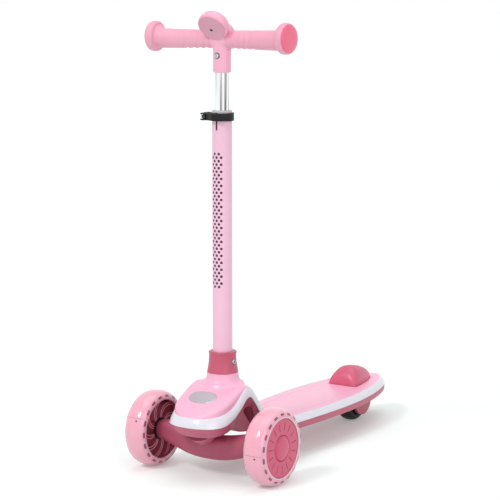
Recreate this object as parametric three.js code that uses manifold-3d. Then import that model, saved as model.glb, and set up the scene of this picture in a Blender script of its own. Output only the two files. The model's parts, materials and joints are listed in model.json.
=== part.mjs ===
import * as THREE from 'three';
import { mergeVertices } from 'three/addons/utils/BufferGeometryUtils.js';
import Module from 'manifold-3d';

// Three wheel kids scooter that steers by leaning.
// Millimetres, +Z up. The rider looks along -Y and +X is the rider's left.
// Places along Y are measured from the front axle; the finished group is then moved so that
// the origin lies on the ground, under the middle of the whole outline.

const wasm = await Module();
wasm.setup();

// Driving dimensions.
const gap = 0.35; // clearance between pieces that touch
const slide = 0.4; // radial clearance round turning and sliding pieces
const mergeShare = 1e-4; // corners closer than this are one
const fullTurn = 360; // degrees
const overrun = 6; // how far a cutting solid runs past what it cuts
const edgeRound = 1; // bevel of small edges
const bevelShare = 0.3; // where a rounded corner's middle point lies
const threadProud = 2; // how far a screw's end stands out of its nut
const shellWall = 3;
const wheelRadius = 60;
const wheelHalfWidth = 19;
const trackHalf = 110.5; // centre plane of each front wheel
const wheelbase = 431;
const rearRadius = 40;
const rearHalfWidth = 12.4;
const stemY = 29.5;
const stemRadius = 15.4;
const stemWall = 1.5;
const innerRadius = 11;
const innerWall = 1.4;
const barHeight = 671;
const tubeShowing = 110.5; // from the stem's top to the bar's axis
const stemTop = barHeight - tubeShowing;
const barReach = 125; // outer face of each grip's flange, from the middle
const steerTilt = 35; // degrees, the kingpin leans forward at the top
const pivotHeight = 45.5; // where the kingpin axis meets the beam's middle
const pivotY = -3;

// Deck and head: named levels and reaches that the outline tables follow.
const headHalf = 47.5; // half width of the head at the trim's upper edge
const headReach = 63; // nose ahead of the axle, at the trim's upper edge
const noseEdge = 102; // height of the trim's upper edge at the nose
const crestRise = 36;
const crestEdge = noseEdge + crestRise; // and where it crests beside the stem
const crestY = 25;
const rampEnd = 125; // where the trim has come down to the deck
const deckEdge = 66.3;
const deckTop = 67.2;
const shoulderRise = 5;
const shoulder = crestEdge + shoulderRise; // top of the head, round the neck
const trimHalf = 54.5; // half width at the trim's lower edge
const trimReach = 71;
const trimTall = 13.5; // height of the trim at the nose
const trimNose = noseEdge - trimTall; // heights of the trim's lower edge
const crestTall = 14.5;
const trimCrest = crestEdge - crestTall;
const trimDeck = 57.3;
const panNose = 72; // height of the underside at the nose
const panDeck = 46.1; // and under the deck
const deckFront = 57.7; // outer half width where the deck starts
const deckStart = 150;
const deckHalf = 66.8; // widest half width
const widestAhead = 123; // the widest place ahead of the rear axle
const deckWidest = wheelbase - widestAhead;
const tailLength = 91; // deck behind the rear axle
const tailReach = wheelbase + tailLength;
const tailPower = 1.85; // superellipse power of the rounded tail
const trimInset = 10.2; // the trim's upper edge lies this far inside the outline
const skirtInset = 1;
const trimBulge = 1.3;
const trimWall = 2.4;
const skirtSeat = 0.8; // the skirt stands this far inside the trim's lower edge

const pink = 0xf9bcd6;
const gripPink = 0xefb2c8;
const rose = 0xd3647f;
const coral = 0xe8738f;
const trimWhite = 0xeceaf2;
const tyrePink = 0xfbc3d2;
const black = 0x1f1d1e;
const steel = 0xb9bcc0;
const chrome = 0xdfe2e6;
const silver = 0xc9c3cb;
const nylon = 0xd9d9dc;
const darkSteel = 0x4a4a4e;

const finish = (color, roughness, metalness = 0) =>
  new THREE.MeshStandardMaterial({ color, roughness, metalness });
const glossPink = finish(pink, 0.35);
const softPink = finish(gripPink, 0.6);
const satinRose = finish(rose, 0.45);
const glossCoral = finish(coral, 0.3);
const glossWhite = finish(trimWhite, 0.25);
const clearPink = finish(tyrePink, 0.15);
const satinBlack = finish(black, 0.5);
const plainSteel = finish(steel, 0.35, 1);
const mirrorChrome = finish(chrome, 0.08, 1);
const satinSilver = finish(silver, 0.35, 0.6);
const naturalNylon = finish(nylon, 0.6);
const oxideSteel = finish(darkSteel, 0.5, 1);

const scooter = new THREE.Group();

const rad = THREE.MathUtils.degToRad;
const lerp = THREE.MathUtils.lerp;
const point = (x, y, z) => new THREE.Vector3(x, y, z);
const mirrored = (p) => point(-p.x, p.y, p.z);

// A closed mesh as a solid, with shared corners merged, flat faces dropped and the skin
// turned to face outwards.
function toSolid(geometry) {
  const bare = geometry.clone();
  bare.deleteAttribute('normal');
  bare.deleteAttribute('uv');
  const merged = mergeVertices(bare, mergeShare);
  const index = merged.index.array;
  const kept = [];
  for (let i = 0; i < index.length; i += 3) {
    const [a, b, c] = [index[i], index[i + 1], index[i + 2]];
    if (a !== b && b !== c && a !== c) kept.push(a, b, c);
  }
  const vertProperties = new Float32Array(merged.attributes.position.array);
  const build = (order) => new wasm.Manifold(
    new wasm.Mesh({ numProp: 3, vertProperties, triVerts: new Uint32Array(order) }));
  const solid = build(kept);
  return solid.volume() < 0 ? build(kept.reverse()) : solid;
}

function toGeometry(solid) {
  const mesh = solid.getMesh();
  const geometry = new THREE.BufferGeometry();
  const positions = new Float32Array(mesh.vertProperties);
  geometry.setAttribute('position', new THREE.BufferAttribute(positions, 3));
  geometry.setIndex(new THREE.BufferAttribute(new Uint32Array(mesh.triVerts), 1));
  geometry.computeVertexNormals();
  return geometry;
}

const joined = (...parts) => parts.map(toSolid).reduce((sum, next) => sum.add(next));
const carved = (base, ...cuts) =>
  cuts.map(toSolid).reduce((left, cut) => left.subtract(cut), base);

// Adds a named piece to the scooter.
function piece(name, shape, material) {
  const geometry = shape.isBufferGeometry ? toGeometry(toSolid(shape)) : toGeometry(shape);
  const mesh = new THREE.Mesh(geometry, material);
  mesh.name = name;
  scooter.add(mesh);
  return mesh;
}

// Turned shapes: profile points are [radius, height] and the axis is Z.
function turned(profile, sides = 24) {
  const points = profile.map(([radius, height]) => new THREE.Vector2(radius, height));
  return new THREE.LatheGeometry(points, sides).rotateX(Math.PI / 2);
}

// A ring or tube between two radii and two heights.
function ring(inner, outer, low, high, sides = 24) {
  return turned([[inner, low], [outer, low], [outer, high], [inner, high], [inner, low]], sides);
}

// A solid rod between two heights.
function rod(radius, low, high, sides = 20) {
  return turned([[0, low], [radius, low], [radius, high], [0, high]], sides);
}

// Turns a shape's Z axis to +X or -X, or to +Y.
const toSide = (geometry, side) => geometry.rotateY((side * Math.PI) / 2);
const toBack = (geometry) => geometry.rotateX(-Math.PI / 2);

function block(width, depth, height) {
  return new THREE.BoxGeometry(width, depth, height);
}

// Joins closed rings of points into a skin. A ring that has shrunk to a line or a point
// needs no cap; with 'closed' the last ring joins the first.
function skin(rings, closed = false) {
  const size = rings[0].length;
  const positions = rings.flat().flatMap((p) => [p.x, p.y, p.z]);
  const index = [];
  const spans = closed ? rings.length : rings.length - 1;
  for (let i = 0; i < spans; i++) {
    const next = (i + 1) % rings.length;
    for (let j = 0; j < size; j++) {
      const k = (j + 1) % size;
      const [a, b, c, d] = [i * size + j, i * size + k, next * size + k, next * size + j];
      index.push(a, b, c, a, c, d);
    }
  }
  const geometry = new THREE.BufferGeometry();
  geometry.setAttribute('position', new THREE.Float32BufferAttribute(positions, 3));
  geometry.setIndex(index);
  return geometry;
}

// The same with a fan cap on each end ring.
function capped(rings) {
  const centre = (loop) =>
    loop.reduce((sum, p) => sum.add(p), point(0, 0, 0)).divideScalar(loop.length);
  const collapse = (loop) => loop.map(() => centre(loop.map((p) => p.clone())));
  return skin([collapse(rings[0]), ...rings, collapse(rings[rings.length - 1])]);
}

// Outline rows, nose to tail, on the rider's left side. Each row of a table is
// [across, along, up]: shares of the half width, of the way from the nose to the crest
// or from the crest to the end of the ramp, and of the rise between the named heights.
const upperNoseShares = [
  [0, 0, 0], [0.42, 0.04, 0], [0.78, 0.19, 0.04], [0.96, 0.41, 0.17], [1, 0.625, 0.42],
  [1, 0.83, 0.78], [0.97, 1, 1],
];
const upperRampShares = [
  [0.98, 0.13, 0.945], [1.01, 0.25, 0.76], [1.04, 0.38, 0.51], [1.05, 0.53, 0.26],
  [1.03, 0.73, 0.07], [1, 1, 0],
];
const lowerNoseShares = [
  [0, 0, 0], [0.4, 0.03, 0], [0.75, 0.155, 0], [0.935, 0.345, 0.06], [1, 0.55, 0.31],
  [1, 0.77, 0.7], [0.965, 0.95, 0.99],
];
const lowerRampShares = [
  [0.945, 0.065, 0.995], [0.97, 0.18, 0.8], [1.01, 0.3, 0.525], [1.035, 0.45, 0.25],
  [1.045, 0.68, 0.07], [1.05, 1, 0],
];
const skirtNoseShares = [
  [0, 0.145, 1], [0.31, 0.165, 1], [0.57, 0.27, 0.97], [0.7, 0.45, 1.02], [0.7, 0.62, 1.1],
  [0.6, 0.78, 1.12], [0.54, 0.96, 0.95],
];
const skirtRampShares = [
  [0.54, 0.1, 0.7], [0.62, 0.27, 0.6], [0.8, 0.4, 0.45], [0.93, 0.55, 0.28],
  [1, 0.76, 0.09], [1.03, 1, 0],
];
// How far the skirt's middle has gone inwards and down: it bellies out round the nose
// and turns in at once under the arch.
const bellyShares = [
  [0.32, 0.6], [0.32, 0.6], [0.32, 0.6], [0.32, 0.6], [0.34, 0.6], [0.55, 0.5], [0.85, 0.28],
  [0.85, 0.28], [0.8, 0.35], [0.55, 0.5], [0.3, 0.6], [0.3, 0.6], [0.3, 0.6],
];
// The head's crown: how far it leads or trails the edge, as a share of the nose reach,
// and its rise towards the shoulder.
const crownNoseShares = [
  [0, 0], [0, 0.1], [-0.055, 0.29], [-0.11, 0.51], [-0.13, 0.71], [-0.11, 0.9], [-0.05, 1],
];
const crownRampShares = [
  [0.015, 0.97], [0.06, 0.8], [0.09, 0.53], [0.11, 0.27], [0.11, 0.08], [0.05, 0],
];

function noseRows(shares, half, reach, low, high) {
  return shares.map(([across, along, up]) =>
    point(across * half, lerp(-reach, crestY, along), lerp(low, high, up)));
}

function rampRows(shares, half, low, high) {
  return shares.map(([across, along, up]) =>
    point(across * half, lerp(crestY, rampEnd, along), lerp(low, high, up)));
}

// The deck's outer outline as [half width, place]: it widens gently, then rounds the tail.
const deckSteps = 2;
const tailSteps = 8;
const deckOutline = [];
for (let i = 0; i <= deckSteps; i++) {
  const share = i / deckSteps;
  const half = lerp(deckFront, deckHalf, Math.sin((share * Math.PI) / 2));
  deckOutline.push(point(half, lerp(deckStart, deckWidest, share), 0));
}
for (let i = 1; i <= tailSteps; i++) {
  const turn = (i / tailSteps) * (Math.PI / 2);
  const along = Math.sin(turn) ** (2 / tailPower);
  const half = i === tailSteps ? 0 : deckHalf * Math.cos(turn) ** (2 / tailPower);
  deckOutline.push(point(half, lerp(deckWidest, tailReach, along), 0));
}

// Outward directions in plan, square to a row of points.
function outwardAlong(rows) {
  return rows.map((p, i) => {
    if (p.x === 0) return point(0, i === 0 ? -1 : 1, 0);
    const before = rows[Math.max(i - 1, 0)];
    const after = rows[Math.min(i + 1, rows.length - 1)];
    return point(after.y - before.y, before.x - after.x, 0).normalize();
  });
}

function movedIn(rows, outward, inset, rise = 0) {
  return rows.map((p, i) => {
    const moved = p.clone().addScaledVector(outward[i], -inset);
    moved.x = Math.max(moved.x, 0);
    moved.z += rise;
    return moved;
  });
}

const deckOutward = outwardAlong(deckOutline);
const upperEdge = [
  ...noseRows(upperNoseShares, headHalf, headReach, noseEdge, crestEdge),
  ...rampRows(upperRampShares, headHalf, deckEdge, crestEdge),
  ...movedIn(deckOutline, deckOutward, trimInset, deckEdge),
];
const lowerEdge = [
  ...noseRows(lowerNoseShares, trimHalf, trimReach, trimNose, trimCrest),
  ...rampRows(lowerRampShares, trimHalf, trimDeck, trimCrest),
  ...movedIn(deckOutline, deckOutward, 0, trimDeck),
];
const skirtEdge = [
  ...noseRows(skirtNoseShares, trimHalf, trimReach, panDeck, panNose),
  ...rampRows(skirtRampShares, trimHalf, panDeck, panNose),
  ...movedIn(deckOutline, deckOutward, skirtInset, panDeck),
];
const crown = upperEdge.map((p, i) => {
  const nose = crownNoseShares[i];
  const ramp = crownRampShares[i - crownNoseShares.length];
  if (nose) return { lead: nose[0] * headReach, height: lerp(noseEdge, shoulder, nose[1]) };
  if (ramp) return { lead: ramp[0] * headReach, height: lerp(deckTop, shoulder, ramp[1]) };
  return { lead: 0, height: p.x === 0 ? deckEdge : deckTop };
});
const outward = outwardAlong(lowerEdge);
const belly = lowerEdge.map((p, i) => {
  const [inwards, down] = bellyShares[i] ?? bellyShares[bellyShares.length - 1];
  const s = skirtEdge[i];
  return point(lerp(p.x, s.x, inwards), lerp(p.y, s.y, inwards), lerp(p.z, s.z, down));
});

// The solid under the top skin, moved in by 'inset' and down by 'sink', with its underside
// 'drop' below the edge.
const crownPower = 2.4;
const crownSteps = 4;
function topSolid(inset, drop, sink = inset, steps = crownSteps) {
  const edge = movedIn(upperEdge, outward, inset, -drop);
  const rings = edge.map((p, i) => {
    const height = crown[i].height - sink;
    const half = [];
    for (let j = 0; j <= steps; j++) {
      const turn = (j / steps) * (Math.PI / 2);
      const over = j === steps ? 0 : Math.cos(turn) ** (2 / crownPower);
      const up = Math.sin(turn) ** (2 / crownPower);
      half.push(point(p.x * over, p.y + crown[i].lead * up, lerp(p.z, height, up)));
    }
    return [...half, ...half.slice(0, -1).reverse().map(mirrored)];
  });
  return toSolid(skin(rings.map((loop) => loop.slice().reverse())));
}

// The solid inside the skirt, moved in by 'inset' all round and up by 'lift' at the bottom.
function skirtSolid(inset, topRise, lift) {
  const top = movedIn(lowerEdge, outward, inset, topRise);
  const middle = movedIn(belly, outward, inset);
  const low = movedIn(skirtEdge, outward, inset, lift);
  const rings = top.map((p, i) => {
    const half = [p, middle[i], low[i]];
    return [...half, ...half.slice().reverse().map(mirrored)];
  });
  return toSolid(skin(rings));
}

// Height of the underside's inner floor at a place along Y.
function floorAt(y) {
  const rows = skirtEdge;
  let i = 1;
  while (i < rows.length - 1 && rows[i].y < y) i++;
  const share = (y - rows[i - 1].y) / (rows[i].y - rows[i - 1].y);
  return lerp(rows[i - 1].z, rows[i].z, share) + shellWall + gap;
}

// The kingpin axis: heights along it are measured from the beam's middle.
const steerRadians = rad(steerTilt);
const toPivot = (geometry) =>
  geometry.rotateX(steerRadians).translate(0, pivotY, pivotHeight);

// Neck of the top shell, flaring from under the collar into the shoulder.
const neckRise = 14.6;
const neckTop = shoulder + neckRise;
const neckRadius = 24.6;
const neckFlareShares = [
  [1, 0], [1.03, 0.35], [1.12, 0.62], [1.28, 0.84], [1.48, 1.05], [1.68, 1.4],
];
function neckProfile(inset, shares = neckFlareShares) {
  const drop = neckTop - shoulder;
  const flare = shares.map(([wide, down]) =>
    [neckRadius * wide - inset, neckTop - drop * down - (down > 0 ? inset : 0)]);
  flare.reverse();
  const [wide, lowest] = flare[0];
  const high = neckTop + (inset > 0 ? overrun : 0);
  flare[flare.length - 1][1] = high;
  return [[0, lowest - overrun], [wide, lowest - overrun], ...flare, [0, high]];
}
const neckSides = 28;
const neck = turned(neckProfile(0), neckSides).translate(0, stemY, 0);
const neckCover = turned(neckProfile(-gap), neckSides).translate(0, stemY, 0);
const hollowShares = [neckFlareShares[0], neckFlareShares[2], neckFlareShares[5]];
const neckHollow = turned(neckProfile(shellWall, hollowShares), 20).translate(0, stemY, 0);

// Brake dome: plan outline and height, shared by the fender and the opening round it.
const domeAhead = 37; // the dome's front and back, from the rear axle
const domeBehind = 56.3;
const domeFront = wheelbase - domeAhead;
const domeBack = wheelbase + domeBehind;
const domeHalf = 28;
const domeTop = 98;
const domeWall = 2;
const domeSkirt = 4; // the fender's skirt reaches this far below the deck
const domeGap = 1.2;
const domeSteps = 9;
const domeAround = 8;
const domeCrestShare = 0.26; // where along its length the dome is highest
const domeRisePower = 0.47;
const domeFallPower = 1.6;
const domePlanPower = 1.2; // the plan outline narrows from its straight front edge to a tip
const domeTipPower = 0.54;

// Share of the half width and of the height at a share of the dome's length.
function domeShape(share) {
  const half = (1 - share ** domePlanPower) ** domeTipPower;
  const past = Math.max(0, (share - domeCrestShare) / (1 - domeCrestShare));
  const rise = past === 0
    ? Math.sin((share / domeCrestShare) * (Math.PI / 2)) ** domeRisePower
    : (1 - past ** domeFallPower) ** (1 / domeFallPower);
  return { half, rise };
}

// Rings across the dome; 'inset' shrinks it on every side.
function domeSolid(inset, low, dome = true) {
  const rings = [];
  for (let i = 0; i <= domeSteps; i++) {
    const share = i === domeSteps ? 1 : (1 - Math.cos((i / domeSteps) * Math.PI)) / 2;
    const { half, rise } = domeShape(share);
    const y = lerp(domeFront + inset, domeBack - inset, share);
    const wide = Math.max(half * (domeHalf - inset), 0);
    const high = dome ? (domeTop - inset - deckTop) * rise + deckTop : deckTop + overrun;
    const loop = [point(wide, y, low)];
    for (let j = 0; j <= domeAround; j++) {
      const turn = (j / domeAround) * Math.PI;
      loop.push(point(wide * Math.cos(turn), y, lerp(deckTop, high, Math.sin(turn))));
    }
    loop.push(point(-wide, y, low));
    rings.push(loop);
  }
  return toSolid(capped(rings.map((loop) => loop.reverse())));
}

// Rear wheel well through the underside.
const wellHalf = 24.5;
const wellLength = 110;
const wellFront = wheelbase - wellLength / 2;
const well = block(2 * wellHalf, wellLength, deckTop).translate(0, wheelbase, panDeck);

// Screws that hold the two shells together, seated in posts of the top shell.
const screwFrontX = 34;
const screwFrontY = 165;
const screwBackX = 44;
const screwAhead = 86; // rear screws ahead of the rear axle
const screwBackY = wheelbase - screwAhead;
const screwPlaces = [
  [screwFrontX, screwFrontY], [-screwFrontX, screwFrontY],
  [screwBackX, screwBackY], [-screwBackX, screwBackY],
];
const screwRadius = 1.9;
const screwHeadRadius = 3.6;
const screwHeadHeight = 2;
const postRadius = 4.6;
const postFoot = panDeck + shellWall + gap;

// Top shell: head, neck and deck in one moulding.
const lipWall = 2.2;
const lipDrop = 2.5;
function topShell() {
  const posts = screwPlaces.map(([x, y]) =>
    rod(postRadius, postFoot, deckTop - shellWall / 2, 8).translate(x, y, 0));
  const pilots = screwPlaces.map(([x, y]) =>
    rod(screwRadius + gap, postFoot - overrun, deckTop - shellWall, 8).translate(x, y, 0));
  const lipInset = trimWall + 2 * gap; // the shell's lip drops down inside the trim
  const hollow = topSolid(lipInset + lipWall, overrun, shellWall, 3).add(toSolid(neckHollow));
  const lip = topSolid(lipInset, lipDrop, lipInset, 2);
  const outside = topSolid(gap, -gap).add(lip).add(toSolid(neck));
  const shell = outside.subtract(hollow);
  const ribbed = shell.add(joined(...posts));
  return carved(ribbed, ...pilots).subtract(domeSolid(-domeGap, panDeck, false));
}
piece('top_shell', topShell(), glossPink);

// Trim band: one loop round head, arches and deck.
function trimBand() {
  const section = upperEdge.map((p, i) => {
    const q = lowerEdge[i];
    const out = outward[i];
    const middle = p.clone().lerp(q, 1 / 2).addScaledVector(out, trimBulge);
    middle.z += trimBulge;
    const innerLow = q.clone().addScaledVector(out, -trimWall - skirtSeat);
    const innerHigh = p.clone().addScaledVector(out, -trimWall);
    innerHigh.z -= trimWall;
    return [p, middle, q, innerLow, innerHigh];
  });
  const left = section.slice(1, -1).reverse().map((loop) => loop.map(mirrored));
  return skin([...section, ...left].map((loop) => loop.slice().reverse()), true);
}
piece('trim_band', trimBand(), glossWhite);

// Lower shell: skirt, underside and the boss that the kingpin passes through.
const bossRadius = 18;
const bossFoot = 20.5;
const bossRound = 4;
const bossTop = 44;
const kingpinRadius = 6;
function lowerShell() {
  const boss = turned([
    [0, bossFoot], [bossRadius - bossRound, bossFoot],
    [bossRadius - bossRound * bevelShare, bossFoot + bossRound * bevelShare],
    [bossRadius, bossFoot + bossRound], [bossRadius, bossTop], [0, bossTop],
  ]);
  const bore = rod(kingpinRadius + slide, bossFoot - overrun, bossTop + overrun);
  const aboveFloor = skirtSolid(shellWall, overrun, shellWall);
  const body = skirtSolid(skirtSeat, -gap, 0).add(toSolid(toPivot(boss)));
  const heads = screwPlaces.map(([x, y]) =>
    rod(screwHeadRadius + gap, panDeck - overrun, panDeck + screwHeadHeight, 14)
      .translate(x, y, 0));
  const shanks = screwPlaces.map(([x, y]) =>
    rod(screwRadius + gap, panDeck, panDeck + overrun, 10).translate(x, y, 0));
  return carved(body.subtract(aboveFloor), toPivot(bore), well, ...heads, ...shanks);
}
piece('lower_shell', lowerShell(), satinRose);

const screwLength = 16;
screwPlaces.forEach(([x, y], i) => {
  const foot = panDeck + gap;
  const head = foot + screwHeadHeight - gap - gap;
  const screw = turned([
    [0, foot], [screwHeadRadius, foot], [screwHeadRadius, head], [screwRadius, head],
    [screwRadius, foot + screwLength], [0, foot + screwLength],
  ], 10);
  piece(`shell_screw_${i + 1}`, screw.translate(x, y, 0), oxideSteel);
});

// Steering bracket inside the head: it holds the stem's foot and the kingpin.
const bracketHalf = 20;
const bracketFront = -48;
const bracketBack = 52;
const bracketBelow = 27;
const bracketFall = 20;
const bracketTop = shoulder - bracketBelow;
const bracketBrow = bracketTop - bracketFall; // height of the bracket's front face
const bracketSlopeEnd = -24;
const stemFoot = 80;
const kingpinSeat = 55; // the nut's seat along the kingpin axis
const nutRadius = 9.5;
const nutHeight = 7;
const bossMeet = 2; // margin above the floor, where the floor slopes
function steeringBracket() {
  const side = new THREE.Shape();
  side.moveTo(bracketFront, floorAt(bracketFront) + bossMeet);
  const feet = [bracketFront + bracketHalf, 0, crestY, bracketBack];
  feet.forEach((y) => side.lineTo(y, floorAt(y) + (y < crestY ? bossMeet : gap)));
  side.lineTo(bracketBack, bracketTop);
  side.lineTo(bracketSlopeEnd, bracketTop);
  side.lineTo(bracketFront, bracketBrow);
  side.closePath();
  const body = new THREE.ExtrudeGeometry(side, { depth: 2 * bracketHalf, bevelEnabled: false });
  body.translate(0, 0, -bracketHalf).rotateY(Math.PI / 2).rotateX(Math.PI / 2);
  const socket = rod(stemRadius + gap, stemFoot - gap, bracketTop + overrun, 32)
    .translate(0, stemY, 0);
  const bossRoom = toPivot(rod(bossRadius + gap, 0, bossTop + gap));
  const bore = toPivot(rod(kingpinRadius + gap, 0, 2 * kingpinSeat));
  const nutRoom = toPivot(rod(nutRadius + 2 * gap, kingpinSeat, 2 * kingpinSeat));
  return carved(toSolid(body), socket, bossRoom, bore, nutRoom);
}
piece('steering_bracket', steeringBracket(), naturalNylon);

// Front beam: sections along X, as [across, height, half height, half depth] with
// heights and depths as shares of the named sizes.
const bearingRadius = 11;
const bearingWidth = 7;
const bearingStep = 3; // half the shoulder between a wheel's two bearings
const hubHalf = bearingStep + bearingWidth + gap;
const beamReach = trackHalf - hubHalf - 2 * gap;
const beamHalfHeight = 19.2;
const beamHalfDepth = 15.5;
const beamSag = wheelRadius - pivotHeight;
const beamRowShares = [
  [0, 0, 1, 1], [0.2, 0.05, 1, 1], [0.38, 0.22, 0.99, 1], [0.55, 0.48, 0.96, 0.97],
  [0.7, 0.74, 0.93, 0.95], [0.83, 0.93, 0.88, 0.92], [0.93, 1, 0.8, 0.86], [1, 1, 0.66, 0.72],
];
const beamCorners = 12;
const beamPower = 2.8;
const beamFace = bossFoot - 2 * gap; // flat that runs under the boss
const kingpinHeadRadius = 9;
const kingpinHeadHeight = 5;
const kingpinFoot = -21;
const axleRadius = 4;
const axleRoot = 84; // the wheel axle is screwed into the beam from here
const bushWall = 2;
function beamRing(x, [, up, tall, deep]) {
  const shift = lerp(pivotY, 0, up);
  const loop = [];
  for (let j = 0; j < beamCorners; j++) {
    const turn = (j / beamCorners) * 2 * Math.PI;
    const [c, s] = [Math.cos(turn), Math.sin(turn)];
    const y = Math.sign(c) * Math.abs(c) ** (2 / beamPower) * beamHalfDepth * deep;
    const z = Math.sign(s) * Math.abs(s) ** (2 / beamPower) * beamHalfHeight * tall;
    loop.push(point(x, y + shift, z + pivotHeight + beamSag * up));
  }
  return loop;
}
function frontBeam() {
  const right = beamRowShares.map((row) => beamRing(row[0] * beamReach, row));
  const left = right.slice(1).reverse().map((loop) => loop.map(mirrored));
  const body = toSolid(capped([...left, ...right]));
  const face = toPivot(rod(2 * bossRadius, beamFace, 2 * bossRadius + beamFace));
  const bore = toPivot(rod(kingpinRadius + bushWall + gap, -2 * bossRadius, 2 * bossRadius));
  const seat = toPivot(rod(kingpinHeadRadius + 2 * gap, -2 * bossRadius,
    kingpinFoot + kingpinHeadHeight + gap));
  const axleHoles = [1, -1].map((side) =>
    toSide(rod(axleRadius + gap / 2, axleRoot, trackHalf), side).translate(0, 0, wheelRadius));
  return carved(body, face, bore, seat, ...axleHoles);
}
piece('front_beam', frontBeam(), satinRose);

const bush = ring(kingpinRadius + slide / 2, kingpinRadius + bushWall,
  kingpinFoot + kingpinHeadHeight + 2 * gap, beamFace - gap);
piece('kingpin_bush', toPivot(bush), naturalNylon);

const kingpinTop = kingpinSeat + nutHeight + threadProud;
const kingpin = turned([
  [0, kingpinFoot], [kingpinHeadRadius, kingpinFoot],
  [kingpinHeadRadius, kingpinFoot + kingpinHeadHeight],
  [kingpinRadius - gap / 2, kingpinFoot + kingpinHeadHeight],
  [kingpinRadius - gap / 2, kingpinTop], [0, kingpinTop],
]);
piece('kingpin', toPivot(kingpin), plainSteel);
const hexSides = 6;
function nut(bore, radius, low, high) {
  const body = toSolid(rod(radius, low, high, hexSides));
  return toGeometry(carved(body, rod(bore, low - overrun, high + overrun, 16)));
}
const kingpinNut = nut(kingpinRadius + gap / 2, nutRadius, kingpinSeat + gap,
  kingpinSeat + nutHeight);
piece('kingpin_nut', toPivot(kingpinNut), oxideSteel);

// Front wheels: turned profiles with the wheel's middle at 0 and its outer face upwards.
const rimRadius = 49;
const tyreSeat = rimRadius + 2.2;
const capRadius = 45.2;
const capFace = 17.8;
const capThick = 3;
const capDome = 19.7;
const capDomeRise = 2.4;
const capDomeShares = [[0.8, 0.65], [0.4, 0.95]];
const recessRadius = 46.2;
const recessFace = -17.1;
const webFace = -3; // the web's inner face
const webThick = 4;
const hubRadius = 15;
const tickCount = 15;
const tickWidth = 1;
const tickDepth = 0.8;
const tickInnerShare = 0.6;
const tickOuterShare = 0.86;
const bladePairs = 9;
const bladeSweep = 38; // degrees that a blade curves from hub to rim
const bladeSplit = 9; // degrees between the two blades of a pair
const bladeThick = 2.2;
const bladeHeight = 9;
const bladeSteps = 2;
const stripThick = 1.2;
const stripHalfWidth = 8;
const bearingLip = 2; // shoulder that a bearing rests against
const tyreWidest = 48; // radius at which the tyre is widest
const tyreLip = capRadius + 2 * gap; // the tyre closes over the rim, up to the cap
const tyreBackLip = recessRadius + gap;
const tyrePower = 2.3; // its crown is a superellipse from the widest place to the tread
const tyreTurnShares = [0, 0.4, 0.72, 0.93];

function tyre(radius, half, widest, inside) {
  const round = (value) => value ** (2 / tyrePower);
  const turns = tyreTurnShares.map((share) => (share * Math.PI) / 2);
  const last = round(Math.sin(turns[turns.length - 1]));
  const side = turns.map((turn) =>
    [lerp(widest, radius, round(Math.sin(turn)) / last), half * round(Math.cos(turn))]);
  const profile = [...side.map(([r, z]) => [r, -z]), ...side.slice().reverse(), ...inside];
  return turned([...profile, profile[0]], 28);
}

// A blade's outline in plan: an arc strip from the hub to the rim.
function bladeShape(start) {
  const line = [];
  for (let i = 0; i <= bladeSteps; i++) {
    const share = i / bladeSteps;
    const radius = lerp(hubRadius - gap, rimRadius - shellWall / 2, share);
    const angle = rad(start + bladeSweep * share * share);
    line.push(new THREE.Vector2(radius * Math.cos(angle), radius * Math.sin(angle)));
  }
  const side = (p, i, sign) => {
    const before = line[Math.max(i - 1, 0)];
    const after = line[Math.min(i + 1, bladeSteps)];
    const across = after.clone().sub(before).normalize().multiplyScalar((sign * bladeThick) / 2);
    return new THREE.Vector2(p.x - across.y, p.y + across.x);
  };
  const right = line.map((p, i) => side(p, i, -1));
  const left = line.map((p, i) => side(p, i, 1)).reverse();
  return new THREE.Shape([...right, ...left]);
}

function wheelHub() {
  const bearingHole = bearingRadius + gap / 2;
  const shoulderHole = bearingRadius - bearingLip;
  const body = turned([
    [shoulderHole, -bearingStep], [bearingHole, -bearingStep], [bearingHole, -hubHalf],
    [hubRadius, -hubHalf], [hubRadius, webFace], [recessRadius, webFace],
    [recessRadius, recessFace], [rimRadius, recessFace], [rimRadius, capFace - capThick - gap],
    [capRadius - shellWall, capFace - capThick - gap], [capRadius - shellWall, webFace + webThick],
    [hubRadius, webFace + webThick], [hubRadius, hubHalf], [bearingHole, hubHalf],
    [bearingHole, bearingStep], [shoulderHole, bearingStep], [shoulderHole, -bearingStep],
  ], 24);
  const blades = [];
  for (let i = 0; i < bladePairs; i++) {
    for (const offset of [0, bladeSplit]) {
      const shape = bladeShape((i / bladePairs) * fullTurn + offset);
      const depth = bladeHeight + gap;
      const blade = new THREE.ExtrudeGeometry(shape, { depth, bevelEnabled: false });
      blades.push(blade.translate(0, 0, webFace - bladeHeight));
    }
  }
  return joined(body, ...blades);
}

function hubCap() {
  const rise = capFace + capDomeRise;
  const plate = turned([
    [0, capFace - capThick], [capRadius, capFace - capThick], [capRadius, capFace - edgeRound],
    [capRadius - edgeRound, capFace], [capDome + edgeRound, capFace],
    [capDome, capFace - edgeRound], [capDome - edgeRound, capFace],
    ...capDomeShares.map(([out, up]) => [capDome * out, lerp(capFace, rise, up)]), [0, rise],
  ], 24);
  const from = capRadius * tickInnerShare;
  const to = capRadius * tickOuterShare;
  const ticks = [];
  for (let i = 0; i < tickCount; i++) {
    const tick = block(to - from, tickWidth, 2 * tickDepth)
      .translate((from + to) / 2, 0, capFace);
    ticks.push(tick.rotateZ((i / tickCount) * 2 * Math.PI));
  }
  return carved(toSolid(plate), ...ticks);
}

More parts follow.
